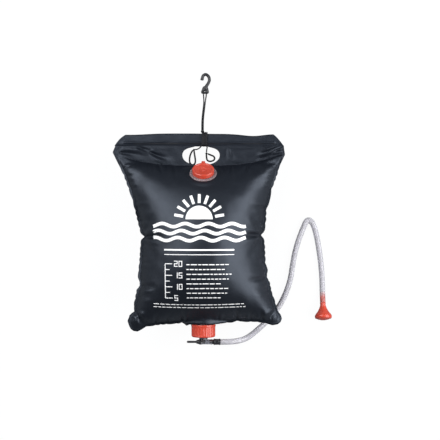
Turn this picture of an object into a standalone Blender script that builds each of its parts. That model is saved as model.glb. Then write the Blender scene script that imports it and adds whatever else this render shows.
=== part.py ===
"""A camp shower bag, lying on its back and blown up, with its valve, hose and shower head.

Units are metres, +Z is up. The origin lies on the floor under the middle of the water chamber,
+Y points to the hook and +X to the side where the hose lies.
"""

import math

import bmesh
import bpy
from mathutils import Matrix, Vector

# Clearances
GAP = 0.0003
OVERRUN = 0.02
MERGE = 0.00001

# Water bag
SEAM_Z = 0.086
SHEET_T = 0.0008
CHAMBER_LENGTH = 0.359
CHAMBER_RISE_AT_SIDES = 0.028
FRONT_CROWN = 0.106
BACK_CROWN = 0.098
HALF_WIDTH = 0.199
WAIST_SHARE = 0.70
SEAM_MARGIN = 0.006
BOTTOM_MARGIN = 0.005
TOP_MARGIN = 0.003
HEADER_HEIGHT = 0.0476
HOLE_X = -0.0055
HOLE_HALF_WIDTH = 0.043
HOLE_HALF_HEIGHT = 0.0217
HOLE_OVER_EDGE = 0.0016
COLUMNS = 26
CHAMBER_ROWS = 20
HEADER_ROWS = 3
HEADER_MIDDLE_COLUMNS = 6
SPREAD_SHARE = 0.86
CORNER_FILL_SHARE = 0.9

# Crease that runs in from each side at the waist
CREASE_UP_SHARE = 0.0385
CREASE_REACH = 0.048
CREASE_DEPTH = 0.008
CREASE_HALF_HEIGHT = 0.0058

# Places up the bag's side, as shares of the sheet's height, and the half width there, as shares
# of the widest half width
WIDTH_SHARES = (
    (0.0, 0.764),
    (0.018, 0.869),
    (0.041, 0.884),
    (0.083, 0.834),
    (0.177, 0.784),
    (0.284, 0.754),
    (0.415, 0.724),
    (0.493, 0.700),
    (0.527, 0.722),
    (0.593, 0.749),
    (0.649, 0.764),
    (0.707, 0.804),
    (0.751, 0.829),
    (0.836, 0.889),
    (0.892, 0.935),
    (0.924, 0.985),
    (0.946, 1.0),
    (0.968, 0.985),
    (1.0, 0.925),
)

# Top sleeve and the rod in it
SLEEVE_HEIGHT = 0.026
SLEEVE_END_R = 0.0055
SLEEVE_LENGTH = 0.344
ROD_R = 0.0041
ROD_LENGTH = 0.332

# Filler
FILLER_UNDER_WELD = 0.019
FILLER_PAD_R = 0.044
FILLER_PAD_FADE = 0.016
FLANGE_R = 0.031
FLANGE_T = 0.002
NECK_R = 0.0194
NECK_BORE_R = 0.0162
NECK_TOP = 0.007
SPIGOT_R = 0.0176
SPIGOT_DEPTH = 0.0035
SEAL_T = 0.0012
CAP_R = 0.025
CAP_BORE_R = 0.0208
CAP_TOP_T = 0.002
CAP_EDGE = 0.0014
CAP_OVER_FLANGE = 0.0004
DIMPLE_R = 0.0085
DIMPLE_DEPTH = 0.001
TAB_WIDTH = 0.009
TAB_REACH = 0.004
TAB_T = 0.0026
FILLER_PITCH = 0.0026
FILLER_RIDGE_R = 0.0008
FILLER_RIDGE_TURNS = 1.0
FILLER_RIDGE_START = 0.0034

# Outlet
BOAT_HALF_WIDTH = 0.062
BOAT_SOLID_HALF_WIDTH = 0.044
BOAT_HALF_HEIGHT = 0.0235
BOAT_DEPTH = 0.012
BOAT_CLEAR = 0.0012
BOAT_POINTS = 11
BOAT_FULL_SHARE = 0.9
BOAT_GONE_SHARE = 0.6
SPOUT_R = 0.0206
SPOUT_BORE_R = 0.017
SPOUT_LENGTH = 0.0225
OUTLET_CAP_R = 0.028
OUTLET_CAP_BORE_R = 0.0223
OUTLET_CAP_START = 0.0008
OUTLET_CAP_END = 0.0305
OUTLET_CAP_EDGE = 0.0015
OUTLET_PITCH = 0.004
OUTLET_RIDGE_R = 0.0011
OUTLET_RIDGE_TURNS = 2.0
OUTLET_RIDGE_START = 0.0055
GASKET_T = 0.002
GASKET_R = 0.0195
GASKET_BORE_R = 0.009
VALVE_FLANGE_R = 0.019
VALVE_FLANGE_T = 0.0022
VALVE_NECK_R = 0.010
VALVE_LINK_R = 0.0043
VALVE_NECK_CLEAR = 0.0004

# Valve, measured along its own axis from the middle of the bag
VALVE_DROP = 0.0416
VALVE_R = 0.00635
VALVE_BORE_R = 0.0044
VALVE_LEFT = -0.0046
VALVE_RIGHT = 0.0206
PORT_R = 0.0025
BONNET_LENGTH = 0.0117
BONNET_SHOULDER = 0.005
BONNET_TIP_R = 0.0039
BONNET_CAVITY = 0.0075
BONNET_BORE_R = 0.002
PISTON_R = 0.0041
PISTON_LENGTH = 0.0082
PISTON_LEFT = -0.0039
GROOVE_R = 0.0027
GROOVE_WIDTH = 0.0017
GROOVE_INSETS = (0.0022, 0.0060)
RING_R = 0.00355
RING_WIRE_R = 0.00055
STEM_R = 0.0017
SPIKE_R = 0.0026
SPIKE_TIP_R = 0.0014
SPIKE_LENGTH = 0.0212
COUPLING_SPIGOT = 0.0066
COUPLING_WAIST_R = 0.0056
COUPLING_WAIST = 0.0027
COUPLING_R = 0.0073
COUPLING_LENGTH = 0.016
COUPLING_EDGE = 0.001
BARB_R = 0.0042
BARB_RIDGE = 0.0002
BARB_LENGTH = 0.0134
BARB_BORE_R = 0.0028

# Hose
HOSE_R = 0.0065
HOSE_WALL = 0.0015
HOSE_STEP = 0.0130

# The hose's route after the valve's coupling and before the shower head, chosen by hand
HOSE_ROUTE = (
    (0.0560, -0.2261, 0.0858),
    (0.0760, -0.2252, 0.0800),
    (0.0955, -0.2215, 0.0675),
    (0.1120, -0.2140, 0.0500),
    (0.1275, -0.2035, 0.0320),
    (0.1440, -0.1910, 0.0175),
    (0.1610, -0.1745, 0.0090),
    (0.1765, -0.1545, 0.0068),
    (0.1895, -0.1320, 0.0067),
    (0.1995, -0.1080, 0.0067),
    (0.2065, -0.0840, 0.0067),
    (0.2115, -0.0540, 0.0067),
    (0.2170, -0.0240, 0.0067),
    (0.2245, 0.0030, 0.0067),
    (0.2325, 0.0250, 0.0067),
    (0.2392, 0.0420, 0.0067),
    (0.2503, 0.0520, 0.0067),
    (0.2615, 0.0425, 0.0067),
    (0.2672, 0.0240, 0.0067),
    (0.2725, -0.0020, 0.0067),
    (0.2772, -0.0330, 0.0067),
    (0.2805, -0.0640, 0.0067),
    (0.2823, -0.0940, 0.0067),
)

# Shower head, measured back from its face
HEAD_FACE_XY = (0.2838, -0.1790)
HEAD_TILT = math.radians(12)
HEAD_YAW = math.radians(1)
RIM_R = 0.0205
RIM_EDGE = 0.0012
RIM_DEPTH = 0.0045
BELL_R = 0.0134
BELL_DEPTH = 0.0185
THROAT_R = 0.0089
THROAT_DEPTH = 0.025
WAIST_R = 0.0064
WAIST_DEPTH = 0.032
COLLAR_R = 0.0072
COLLAR_DEPTH = 0.0362
HEAD_LENGTH = 0.038
BELL_WALL = 0.0024
ROSE_R = 0.0179
ROSE_T = 0.0019
ROSE_LEDGE = 0.0012
HEAD_BARB_LENGTH = 0.028
JET_R = 0.0009
JET_RING_R = 0.0065
JET_RINGS = 2
JETS_PER_RING = 6

# Cord, band, knots
CORD_R = 0.0014
BAND_TURNS = 3.5
BAND_PITCH = 0.00325
BAND_LEFT = -0.0028
LOOP_POINTS = 20
KNOT_R = 0.0025
KNOT_HALF_WIDTH = 0.0034
HANGER_X = -0.0021
STRAND_APART = 0.0036
CORD_STEP = 0.0062
LOOP_STEP = 0.0046
END_STEP = 0.0056
SPREAD_LENGTH = 0.026
BEND_POINTS = 9

# Routes of the cord, chosen by hand: the band's two loose ends, the loops on their knots, and the
# middle line between the hanger's two strands
LEFT_END_ROUTE = (
    (-0.0190, 0.2183, 0.0800),
    (-0.0150, 0.2185, 0.0835),
    (-0.0100, 0.2205, 0.0880),
    (-0.0060, 0.2240, 0.0915),
    (-0.0033, 0.2285, 0.0930),
)
RIGHT_END_ROUTE = (
    (0.0086, 0.2290, 0.0786),
    (0.0084, 0.2235, 0.0772),
    (0.0075, 0.2180, 0.0750),
    (0.0069, 0.2123, 0.0728),
)
LEFT_KNOT = (-0.0218, 0.2175, 0.0785)
RIGHT_KNOT = (0.0067, 0.2093, 0.0716)
LEFT_LOOP_ROUTE = (
    (-0.0248, 0.2163, 0.0775),
    (-0.0285, 0.2110, 0.0755),
    (-0.0312, 0.2040, 0.0730),
    (-0.0325, 0.1960, 0.0705),
    (-0.0318, 0.1890, 0.0685),
    (-0.0285, 0.1845, 0.0672),
    (-0.0240, 0.1838, 0.0670),
    (-0.0200, 0.1870, 0.0678),
    (-0.0190, 0.1930, 0.0700),
    (-0.0198, 0.2010, 0.0728),
    (-0.0210, 0.2085, 0.0755),
    (-0.0216, 0.2142, 0.0776),
)
RIGHT_LOOP_ROUTE = (
    (0.0067, 0.2068, 0.0703),
    (0.0070, 0.2010, 0.0682),
    (0.0082, 0.1955, 0.0665),
    (0.0125, 0.1922, 0.0650),
    (0.0185, 0.1922, 0.0640),
    (0.0240, 0.1950, 0.0640),
    (0.0258, 0.1995, 0.0650),
    (0.0232, 0.2035, 0.0664),
    (0.0175, 0.2060, 0.0682),
    (0.0128, 0.2078, 0.0698),
    (0.0103, 0.2088, 0.0708),
)
HANGER_ROUTE = (
    (-0.0021, 0.2606, 0.0834),
    (-0.0022, 0.2662, 0.0750),
    (-0.0024, 0.2722, 0.0637),
    (-0.0026, 0.2800, 0.0500),
    (-0.0026, 0.2890, 0.0365),
    (-0.0022, 0.2995, 0.0240),
    (-0.0012, 0.3110, 0.0142),
    (0.0000, 0.3225, 0.0083),
    (0.0012, 0.3340, 0.0060),
    (0.0019, 0.3460, 0.0056),
)

# Hook
HOOK_PIVOT = (0.0023, 0.3588, 0.0056)
HOOK_ROD_R = 0.0034
HOOK_TIP_R = 0.0038
HOOK_STEP = 0.0042
EYE_T = 0.003
EYE_LOOP_HALF_WIDTH = 0.0034
EYE_LOOP_RISE = 0.0041
EYE_HALF_WIDTH = 0.0092
EYE_HEIGHT = 0.015
HOOK_HEIGHT = 0.0442
HOOK_HALF_WIDTH = 0.0106

# Middle line of the hook's rod, as shares of its half width and its height from the eye's bar
HOOK_SHARES = (
    (0.16, 0.26),
    (0.32, 0.36),
    (0.74, 0.52),
    (1.0, 0.70),
    (0.80, 0.895),
    (0.18, 1.0),
    (-0.40, 0.93),
    (-0.62, 0.76),
)

# The eye's outline and its opening, as shares of its half width and its height from the bar
EYE_SHARES = (
    (-0.93, -0.10),
    (0.93, -0.10),
    (1.0, -0.03),
    (0.98, 0.07),
    (0.60, 0.90),
    (-0.17, 0.90),
    (-0.98, 0.07),
    (-1.0, -0.03),
)
EYE_HOLE_SHARES = (
    (-0.70, 0.107),
    (0.70, 0.107),
    (0.42, 0.60),
    (-0.40, 0.60),
)

# Sizes that follow
CHAMBER_HALF = CHAMBER_LENGTH / 2
FILLER_UP_CHAMBER = CHAMBER_HALF - FILLER_UNDER_WELD
SHEET_BOTTOM = -CHAMBER_HALF - BOTTOM_MARGIN
SHEET_TOP = CHAMBER_HALF + HEADER_HEIGHT
SHEET_HEIGHT = SHEET_TOP - SHEET_BOTTOM
SLEEVE_Y = SHEET_TOP + GAP + SLEEVE_HEIGHT / 2
HOLE_Y = SHEET_TOP + HOLE_OVER_EDGE - HOLE_HALF_HEIGHT
VALVE_Y = SHEET_BOTTOM - VALVE_DROP
HOSE_BORE_R = HOSE_R - HOSE_WALL
BAND_END_R = SLEEVE_END_R + GAP + CORD_R
BAND_STRAIGHT = SLEEVE_HEIGHT - 2 * SLEEVE_END_R
KNOT_Y = SLEEVE_Y + BAND_STRAIGHT / 2 + BAND_END_R + CORD_R + GAP + KNOT_R

ROUND_STEPS = 26
VALVE_STEPS = 22
SMALL_STEPS = 20
SMOOTH_ANGLE = math.radians(40)


def clear_scene():
    for obj in list(bpy.data.objects):
        bpy.data.objects.remove(obj, do_unlink=True)


def collection(name):
    made = bpy.data.collections.new(name)
    bpy.context.scene.collection.children.link(made)
    return made


clear_scene()
PARTS = collection("camp_shower_bag")
TOOLS = collection("cutters")


def material(name, colour, roughness, metallic=0.0, alpha=1.0):
    made = bpy.data.materials.get(name)
    if made:
        return made
    made = bpy.data.materials.new(name)
    made.use_nodes = True
    shader = made.node_tree.nodes["Principled BSDF"]
    shader.inputs["Base Color"].default_value = (*colour, 1.0)
    shader.inputs["Roughness"].default_value = roughness
    shader.inputs["Metallic"].default_value = metallic
    shader.inputs["Alpha"].default_value = alpha
    return made


def black_vinyl():
    return material("black_vinyl", (0.020, 0.023, 0.030), 0.42)


def red_plastic():
    return material("red_plastic", (0.62, 0.055, 0.035), 0.30)


def black_plastic():
    return material("black_plastic", (0.012, 0.012, 0.014), 0.35)


def clear_plastic():
    return material("clear_plastic", (0.66, 0.60, 0.62), 0.20, alpha=0.6)


def smoky_plastic():
    return material("smoky_plastic", (0.30, 0.30, 0.31), 0.18, alpha=0.6)


def hose_vinyl():
    return material("hose_vinyl", (0.62, 0.60, 0.66), 0.15, alpha=0.45)


def seal_rubber():
    return material("seal_rubber", (0.030, 0.030, 0.032), 0.70)


def black_cord():
    return material("black_cord", (0.015, 0.015, 0.017), 0.85)


def finish(obj, surface, keep=True):
    """Links a made object, gives it its material and shades its round faces smooth."""
    home = PARTS if keep else TOOLS
    if obj.name not in home.objects:
        home.objects.link(obj)
    if surface:
        obj.data.materials.clear()
        obj.data.materials.append(surface)
    if obj.type == "MESH":
        obj.data.shade_smooth()
        obj.data.set_sharp_from_angle(angle=SMOOTH_ANGLE)
    if not keep:
        obj.hide_render = True
        obj.display_type = "WIRE"
    return obj


def empty(name, place, turn=None):
    """A frame that pieces are parented to; turn is a rotation matrix."""
    made = bpy.data.objects.new(name, None)
    PARTS.objects.link(made)
    made.matrix_world = Matrix.Translation(place) @ (turn.to_4x4() if turn else Matrix())
    return made


def put(obj, frame, place=(0, 0, 0)):
    """Parents a piece to a frame, at a place measured in that frame."""
    obj.parent = frame
    obj.location = place
    bpy.context.view_layer.update()
    return obj


def turned(name, profile, surface, closed=False, steps=ROUND_STEPS, keep=True):
    """A turned piece about its own Z: the profile's (radius, height) points run down its outer
    side, and a closed profile gives it a bore."""
    mesh = bpy.data.meshes.new(name)
    form = bmesh.new()
    points = [form.verts.new((radius, 0, height)) for radius, height in profile]
    pairs = list(zip(points, points[1:]))
    if closed:
        pairs.append((points[-1], points[0]))
    for pair in pairs:
        form.edges.new(pair)
    form.to_mesh(mesh)
    form.free()
    obj = bpy.data.objects.new(name, mesh)
    screw = obj.modifiers.new("turn", "SCREW")
    screw.axis = "Z"
    screw.steps = steps
    screw.render_steps = steps
    screw.use_merge_vertices = True
    screw.merge_threshold = MERGE
    return finish(obj, surface, keep)


def cylinder(name, radius, low, high, steps=ROUND_STEPS):
    """A cutter about its own Z, from one height to another."""
    profile = ((0, high), (radius, high), (radius, low), (0, low))
    return turned(name, profile, None, steps=steps, keep=False)


def smooth_points(route, step):
    """Points about a step apart on a smooth curve through the route's own points."""
    knots = [Vector(p) for p in route]
    ends = [2 * knots[0] - knots[1]] + knots + [2 * knots[-1] - knots[-2]]
    fine = []
    pieces = 16
    for a, b, c, d in zip(ends, ends[1:], ends[2:], ends[3:]):
        for i in range(pieces):
            t = i / pieces
            fine.append(
                0.5 * (2 * b + (c - a) * t + (2 * a - 5 * b + 4 * c - d) * t**2
                       + (3 * b - a - 3 * c + d) * t**3)
            )
    fine.append(knots[-1])
    along = [0.0]
    for a, b in zip(fine, fine[1:]):
        along.append(along[-1] + (b - a).length)
    count = max(2, round(along[-1] / step))
    points, at = [], 0
    for i in range(count + 1):
        want = along[-1] * i / count
        while at < len(fine) - 2 and along[at + 1] < want:
            at += 1
        share = (want - along[at]) / (along[at + 1] - along[at])
        points.append(fine[at].lerp(fine[at + 1], min(1.0, share)))
    return points


def path_length(points):
    return sum((b - a).length for a, b in zip(points, points[1:]))


def tube(name, points, radius, surface, sides_level=2, capped=True, radii=None):
    """A round tube along the points, as a curve."""
    data = bpy.data.curves.new(name, "CURVE")
    data.dimensions = "3D"
    data.bevel_depth = radius
    data.bevel_resolution = sides_level
    data.use_fill_caps = capped
    line = data.splines.new("POLY")
    line.points.add(len(points) - 1)
    for i, point in enumerate(points):
        line.points[i].co = (*point, 1.0)
        line.points[i].radius = radii[i] if radii else 1.0
    obj = bpy.data.objects.new(name, data)
    return finish(obj, surface)


def as_mesh(obj, surface, keep=True):
    """The same piece as a mesh, its caps welded; the curve is removed."""
    name, place = obj.name, obj.matrix_world.copy()
    bpy.context.view_layer.update()
    graph = bpy.context.evaluated_depsgraph_get()
    mesh = bpy.data.meshes.new_from_object(obj.evaluated_get(graph))
    bpy.data.objects.remove(obj, do_unlink=True)
    form = bmesh.new()
    form.from_mesh(mesh)
    bmesh.ops.remove_doubles(form, verts=form.verts, dist=MERGE)
    bmesh.ops.recalc_face_normals(form, faces=form.faces)
    form.to_mesh(mesh)
    form.free()
    made = bpy.data.objects.new(name, mesh)
    made.name = name
    made.matrix_world = place
    return finish(made, surface, keep)


def plate(name, outlines, thickness, surface, keep=True):
    """A flat piece in its own XY plane: the first outline is its edge, the others are holes."""
    data = bpy.data.curves.new(name, "CURVE")
    data.dimensions = "2D"
    data.fill_mode = "BOTH"
    data.extrude = thickness / 2
    for outline in outlines:
        line = data.splines.new("POLY")
        line.points.add(len(outline) - 1)
        for point, (x, y) in zip(line.points, outline):
            point.co = (x, y, 0, 1)
        line.use_cyclic_u = True
    obj = bpy.data.objects.new(name, data)
    PARTS.objects.link(obj)
    return as_mesh(obj, surface, keep)


def ball(name, half_sizes, surface, keep=True, sides=16):
    mesh = bpy.data.meshes.new(name)
    form = bmesh.new()
    bmesh.ops.create_uvsphere(form, u_segments=sides, v_segments=sides // 2, radius=1.0)
    bmesh.ops.scale(form, vec=half_sizes, verts=form.verts)
    form.to_mesh(mesh)
    form.free()
    return finish(bpy.data.objects.new(name, mesh), surface, keep)


def box(name, sizes, surface, keep=False):
    mesh = bpy.data.meshes.new(name)
    form = bmesh.new()
    bmesh.ops.create_cube(form, size=1.0)
    bmesh.ops.scale(form, vec=sizes, verts=form.verts)
    form.to_mesh(mesh)
    form.free()
    return finish(bpy.data.objects.new(name, mesh), surface, keep)


def combine(obj, other, operation):
    """A Boolean of two meshes, kept as a modifier."""
    change = obj.modifiers.new(other.name, "BOOLEAN")
    change.operation = operation
    change.object = other
    return obj


def circle(centre, radius, count):
    x, y = centre
    turns = [2 * math.pi * i / count for i in range(count)]
    return [(x + radius * math.cos(a), y + radius * math.sin(a)) for a in turns]


def thread_ridge(name, radius, start, pitch, turns, ridge_r):
    """A round ridge that climbs one pitch a turn, for joining to a wall."""
    count = round(ROUND_STEPS * turns)
    points = []
    for i in range(count + 1):
        turn = 2 * math.pi * turns * i / count
        height = start + pitch * turns * i / count
        points.append(Vector((radius * math.cos(turn), radius * math.sin(turn), height)))
    return as_mesh(tube(name, points, ridge_r, None, sides_level=1), None, keep=False)


# Shape of the bag


def half_width(y):
    """Half the sheet's width at a height up the bag."""
    share = min(1.0, max(0.0, (y - SHEET_BOTTOM) / SHEET_HEIGHT))
    for (low, a), (high, b) in zip(WIDTH_SHARES, WIDTH_SHARES[1:]):
        if share <= high:
            return HALF_WIDTH * (a + (b - a) * (share - low) / (high - low))
    return HALF_WIDTH * WIDTH_SHARES[-1][1]


def arc(share, rise):
    """Height of a circle's arc over its chord: 1 in the middle, 0 at both ends."""
    if abs(share) >= 1:
        return 0.0
    radius = (1 + rise * rise) / (2 * rise)
    return (math.sqrt(radius * radius - share * share) - (radius - rise)) / rise


def boat_lift(x):
    """How far the sheets stand off the seam over the outlet's boat-shaped flange."""
    if abs(x) >= BOAT_HALF_WIDTH:
        return 0.0
    return BOAT_HALF_HEIGHT * math.cos(math.pi / 2 * x / BOAT_HALF_WIDTH) ** 2


def crease(across, along):
    """How deep the waist's crease is: a bell across it, and it rises and fades along its reach."""
    share = (1 - abs(across)) * HALF_WIDTH * WAIST_SHARE / CREASE_REACH
    if share >= 1:
        return 0.0
    off = (along - CREASE_UP_SHARE) * CHAMBER_HALF / CREASE_HALF_HEIGHT
    fade = share * (1 - share) ** 2
    deepest = 4 / 27
    return CREASE_DEPTH * fade / deepest * math.exp(-off * off)


def lift(across, along, x, crown):
    """Height of a sheet's inner face over the seam, at shares across and along the chamber."""
    wide = crown / (HALF_WIDTH * WAIST_SHARE)
    fill = 1 + CORNER_FILL_SHARE * across**2 * along**2
    dome = crown * fill * arc(across, wide) * arc(along, crown / CHAMBER_HALF)
    dome = max(0.0, dome - crease(across, along))
    fade = (-along - BOAT_GONE_SHARE) / (BOAT_FULL_SHARE - BOAT_GONE_SHARE)
    fade = min(1.0, max(0.0, fade))
    sharpness = 4
    return (dome**sharpness + (boat_lift(x) * fade) ** sharpness) ** (1 / sharpness)


def filler_seat(crown):
    """The point and slope of the front sheet's inner face under the filler."""
    radius = (CHAMBER_HALF**2 + crown**2) / (2 * crown)
    slope = math.asin(FILLER_UP_CHAMBER / radius)
    height = radius * math.cos(slope) - (radius - crown)
    return Vector((0, FILLER_UP_CHAMBER, SEAM_Z + height)), slope


FILLER_POINT, FILLER_SLOPE = filler_seat(FRONT_CROWN)
FILLER_OUT = Vector((0, math.sin(FILLER_SLOPE), math.cos(FILLER_SLOPE)))


def on_filler_pad(point):
    """Draws the front sheet onto a flat pad round the filler, and fades back to the dome."""
    off = point - FILLER_POINT
    height = off.dot(FILLER_OUT)
    away = (off - height * FILLER_OUT).length
    share = min(1.0, max(0.0, (FILLER_PAD_R + FILLER_PAD_FADE - away) / FILLER_PAD_FADE))
    smooth = share * share * (3 - 2 * share)
    return point - height * smooth * FILLER_OUT


def grid_places():
    """Shares across and the row kinds up the sheet."""
    bend = math.pi / 2 * SPREAD_SHARE
    across = [
        math.sin(bend * (2 * i / COLUMNS - 1)) / math.sin(bend) for i in range(COLUMNS + 1)
    ]
    along = [
        math.sin(bend * (2 * i / CHAMBER_ROWS - 1)) / math.sin(bend)
        for i in range(CHAMBER_ROWS + 1)
    ]
    step = CREASE_HALF_HEIGHT / CHAMBER_HALF
    near = [CREASE_UP_SHARE + step * i for i in (-2, -1, 0, 1, 2)]
    along = [place for place in along if abs(place - CREASE_UP_SHARE) > 2.5 * step] + near
    return across, sorted(along)


def top_weld(s):
    """Height up the bag of the weld that closes the chamber, at a share across."""
    return CHAMBER_HALF + CHAMBER_RISE_AT_SIDES * abs(s) ** 3


def across_bag(s, y, edge):
    """Where a share across lies at a height up the bag: on the sheet's edge, or inside its weld."""
    wide = half_width(y)
    return math.copysign(wide, s) if edge else s * (wide - SEAM_MARGIN)


def sheet_points(crown, side):
    """Rows of points of a sheet's inner face; side is 1 for the front and -1 for the back."""
    across, along = grid_places()
    rows = []
    for row in range(2 + len(along)):
        points = []
        for column in range(len(across) + 2):
            edge = column == 0 or column == len(across) + 1
            s = across[min(max(column - 1, 0), len(across) - 1)]
            if row == 0:
                y, t = SHEET_BOTTOM, -1.0
            elif row > len(along):
                y, t = top_weld(s) + TOP_MARGIN, 1.0
            else:
                t = along[row - 1]
                y = -CHAMBER_HALF + (top_weld(s) + CHAMBER_HALF) * (t + 1) / 2
            x = across_bag(s, y, edge)
            rise = 0.0 if edge else lift(s, t, x, crown)
            point = Vector((x, y, SEAM_Z + side * (rise + GAP / 2)))
            if side > 0:
                if row < len(along):
                    point = on_filler_pad(point)
                point.z = max(point.z, SEAM_Z + GAP / 2)
            else:
                point.z = max(point.z, SHEET_T)
            points.append(point)
        rows.append(points)
    return rows


def header_points():
    """Rows of points of the header, from just above the panels to the sleeve."""
    across, _ = grid_places()
    rows = []
    for row in range(HEADER_ROWS + 1):
        points = []
        for column in range(len(across) + 2):
            edge = column == 0 or column == len(across) + 1
            s = across[min(max(column - 1, 0), len(across) - 1)]
            low = top_weld(s) + TOP_MARGIN + GAP
            y = low + (SHEET_TOP - low) * row / HEADER_ROWS
            points.append(Vector((across_bag(s, y, edge), y, SEAM_Z)))
        rows.append(points)
    return rows


def sheet(name, rows, thickness, side):
    """A vinyl sheet: a grid laid over the rows of points, with its wall to one side, or to both
    sides where side is 0."""
    wide, tall = len(rows[0]), len(rows)
    mesh = bpy.data.meshes.new(name)
    form = bmesh.new()
    bmesh.ops.create_grid(form, x_segments=wide - 1, y_segments=tall - 1, size=1.0)
    form.verts.ensure_lookup_table()
    for vert in form.verts:
        column = round((vert.co.x + 1) / 2 * (wide - 1))
        row = round((vert.co.y + 1) / 2 * (tall - 1))
        vert.co = rows[row][column]
    form.to_mesh(mesh)
    form.free()
    obj = bpy.data.objects.new(name, mesh)
    wall = obj.modifiers.new("wall", "SOLIDIFY")
    wall.thickness = thickness
    wall.offset = side
    wall.use_even_offset = True
    wall.use_quality_normals = True
    return finish(obj, black_vinyl())


def hand_hole_cutter(name):
    """An oval post through the header."""
    outline = [
        (x * HOLE_HALF_WIDTH, y * HOLE_HALF_HEIGHT) for x, y in circle((0, 0), 1.0, ROUND_STEPS)
    ]
    cutter = plate(name, [outline], FRONT_CROWN, None, keep=False)
    cutter.location = (HOLE_X, HOLE_Y, SEAM_Z)
    return cutter


def header():
    """Both sheets, welded into one above the chamber: two wings and the middle with the hand
    hole through it."""
    rows = header_points()
    wide = len(rows[0])
    low = (wide - HEADER_MIDDLE_COLUMNS) // 2
    high = wide - 1 - low
    parts = (("header_left", 0, low), ("header_middle", low, high), ("header_right", high, wide - 1))
    for name, first, last in parts:
        part = [[point.copy() for point in row[first:last + 1]] for row in rows]
        for row in part:
            if first:
                row[0].x += GAP / 2
            if last < wide - 1:
                row[-1].x -= GAP / 2
        obj = sheet(name, part, 2 * SHEET_T + GAP, 0)
        if name == "header_middle":
            combine(obj, hand_hole_cutter("header_hand_hole"), "DIFFERENCE")


def front_panel():
    obj = sheet("front_panel", sheet_points(FRONT_CROWN, 1), SHEET_T, 1)
    cutter = cylinder("front_panel_filler_hole", SPIGOT_R + GAP, -OVERRUN, OVERRUN)
    cutter.matrix_world = filler_matrix()
    combine(obj, cutter, "DIFFERENCE")


def back_panel():
    sheet("back_panel", sheet_points(BACK_CROWN, -1), SHEET_T, -1)


def stadium(half_height, radius, count):
    """An outline with straight long sides and round ends, standing along Y."""
    points = []
    for end in (1, -1):
        middle = end * (half_height - radius)
        for i in range(count + 1):
            turn = math.pi * i / count + (0 if end > 0 else math.pi)
            points.append((radius * math.cos(turn), middle + radius * math.sin(turn)))
    return points


def top_sleeve():
    half = SLEEVE_HEIGHT / 2
    sides = ROUND_STEPS // 4
    outer = stadium(half, SLEEVE_END_R, sides)
    inner = stadium(half - SHEET_T, SLEEVE_END_R - SHEET_T, sides)
    obj = plate("top_sleeve", [outer, inner], SLEEVE_LENGTH, black_vinyl())
    obj.rotation_euler = (0, math.pi / 2, 0)
    obj.location = (0, SLEEVE_Y, SEAM_Z)


def handle_rod():
    half = ROD_LENGTH / 2
    edge = ROD_R / 4
    profile = ((0, half), (ROD_R - edge, half), (ROD_R, half - edge))
    profile += ((ROD_R, edge - half), (ROD_R - edge, -half), (0, -half))
    obj = turned("handle_rod", profile, black_plastic(), steps=SMALL_STEPS)
    obj.rotation_euler = (0, math.pi / 2, 0)
    low = SLEEVE_HEIGHT / 2 - SLEEVE_END_R
    inside = SLEEVE_END_R - SHEET_T - ROD_R - GAP
    obj.location = (0, SLEEVE_Y - low, SEAM_Z - max(0.0, inside))


# Filler: its frame stands on the front sheet's outer face, with Z along the neck


def filler_matrix():
    place = FILLER_POINT + SHEET_T * FILLER_OUT
    return Matrix.Translation(place) @ Matrix.Rotation(-FILLER_SLOPE, 4, "X")


def filler_frame():
    made = empty("filler_frame", (0, 0, 0))
    made.matrix_world = filler_matrix()
    bpy.context.view_layer.update()
    return made


def filler_neck(frame):
    flange_top = GAP + FLANGE_T
    profile = (
        (NECK_BORE_R, NECK_TOP),
        (NECK_R, NECK_TOP),
        (NECK_R, flange_top),
        (FLANGE_R, flange_top),
        (FLANGE_R, GAP),
        (SPIGOT_R, GAP),
        (SPIGOT_R, -SPIGOT_DEPTH),
        (NECK_BORE_R, -SPIGOT_DEPTH),
    )
    obj = put(turned("filler_neck", profile, clear_plastic(), closed=True), frame)
    ridge = thread_ridge(
        "filler_neck_thread", NECK_R, FILLER_RIDGE_START, FILLER_PITCH,
        FILLER_RIDGE_TURNS, FILLER_RIDGE_R,
    )
    combine(obj, put(ridge, frame), "UNION")


def filler_seal(frame):
    low = NECK_TOP + GAP
    radius = CAP_BORE_R - FILLER_RIDGE_R - GAP
    profile = ((0, low + SEAL_T), (radius, low + SEAL_T), (radius, low), (0, low))
    put(turned("filler_seal", profile, seal_rubber()), frame)


def filler_cap(frame):
    ceiling = NECK_TOP + SEAL_T + 2 * GAP
    top = ceiling + CAP_TOP_T
    bottom = GAP + FLANGE_T + CAP_OVER_FLANGE
    profile = (
        (0, top - DIMPLE_DEPTH),
        (DIMPLE_R - DIMPLE_DEPTH, top - DIMPLE_DEPTH),
        (DIMPLE_R, top),
        (CAP_R - CAP_EDGE, top),
        (CAP_R, top - CAP_EDGE),
        (CAP_R, bottom),
        (CAP_BORE_R, bottom),
        (CAP_BORE_R, ceiling),
        (0, ceiling),
    )
    obj = put(turned("filler_cap", profile, red_plastic()), frame)
    ridge = thread_ridge(
        "filler_cap_thread", CAP_BORE_R, FILLER_RIDGE_START + FILLER_PITCH / 2, FILLER_PITCH,
        FILLER_RIDGE_TURNS, FILLER_RIDGE_R,
    )
    combine(obj, put(ridge, frame), "UNION")
    tab_length = 2 * TAB_REACH
    tab = box("filler_cap_tab", (TAB_WIDTH, tab_length, TAB_T), None)
    put(tab, frame, (0, CAP_R, top - CAP_EDGE - TAB_T / 2))
    combine(obj, tab, "UNION")


# Outlet: its frame stands at the sheet's bottom edge, with Z along the water's way out


def outlet_frame():
    return empty("outlet_frame", (0, SHEET_BOTTOM, SEAM_Z), Matrix.Rotation(math.pi / 2, 3, "X"))


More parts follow.
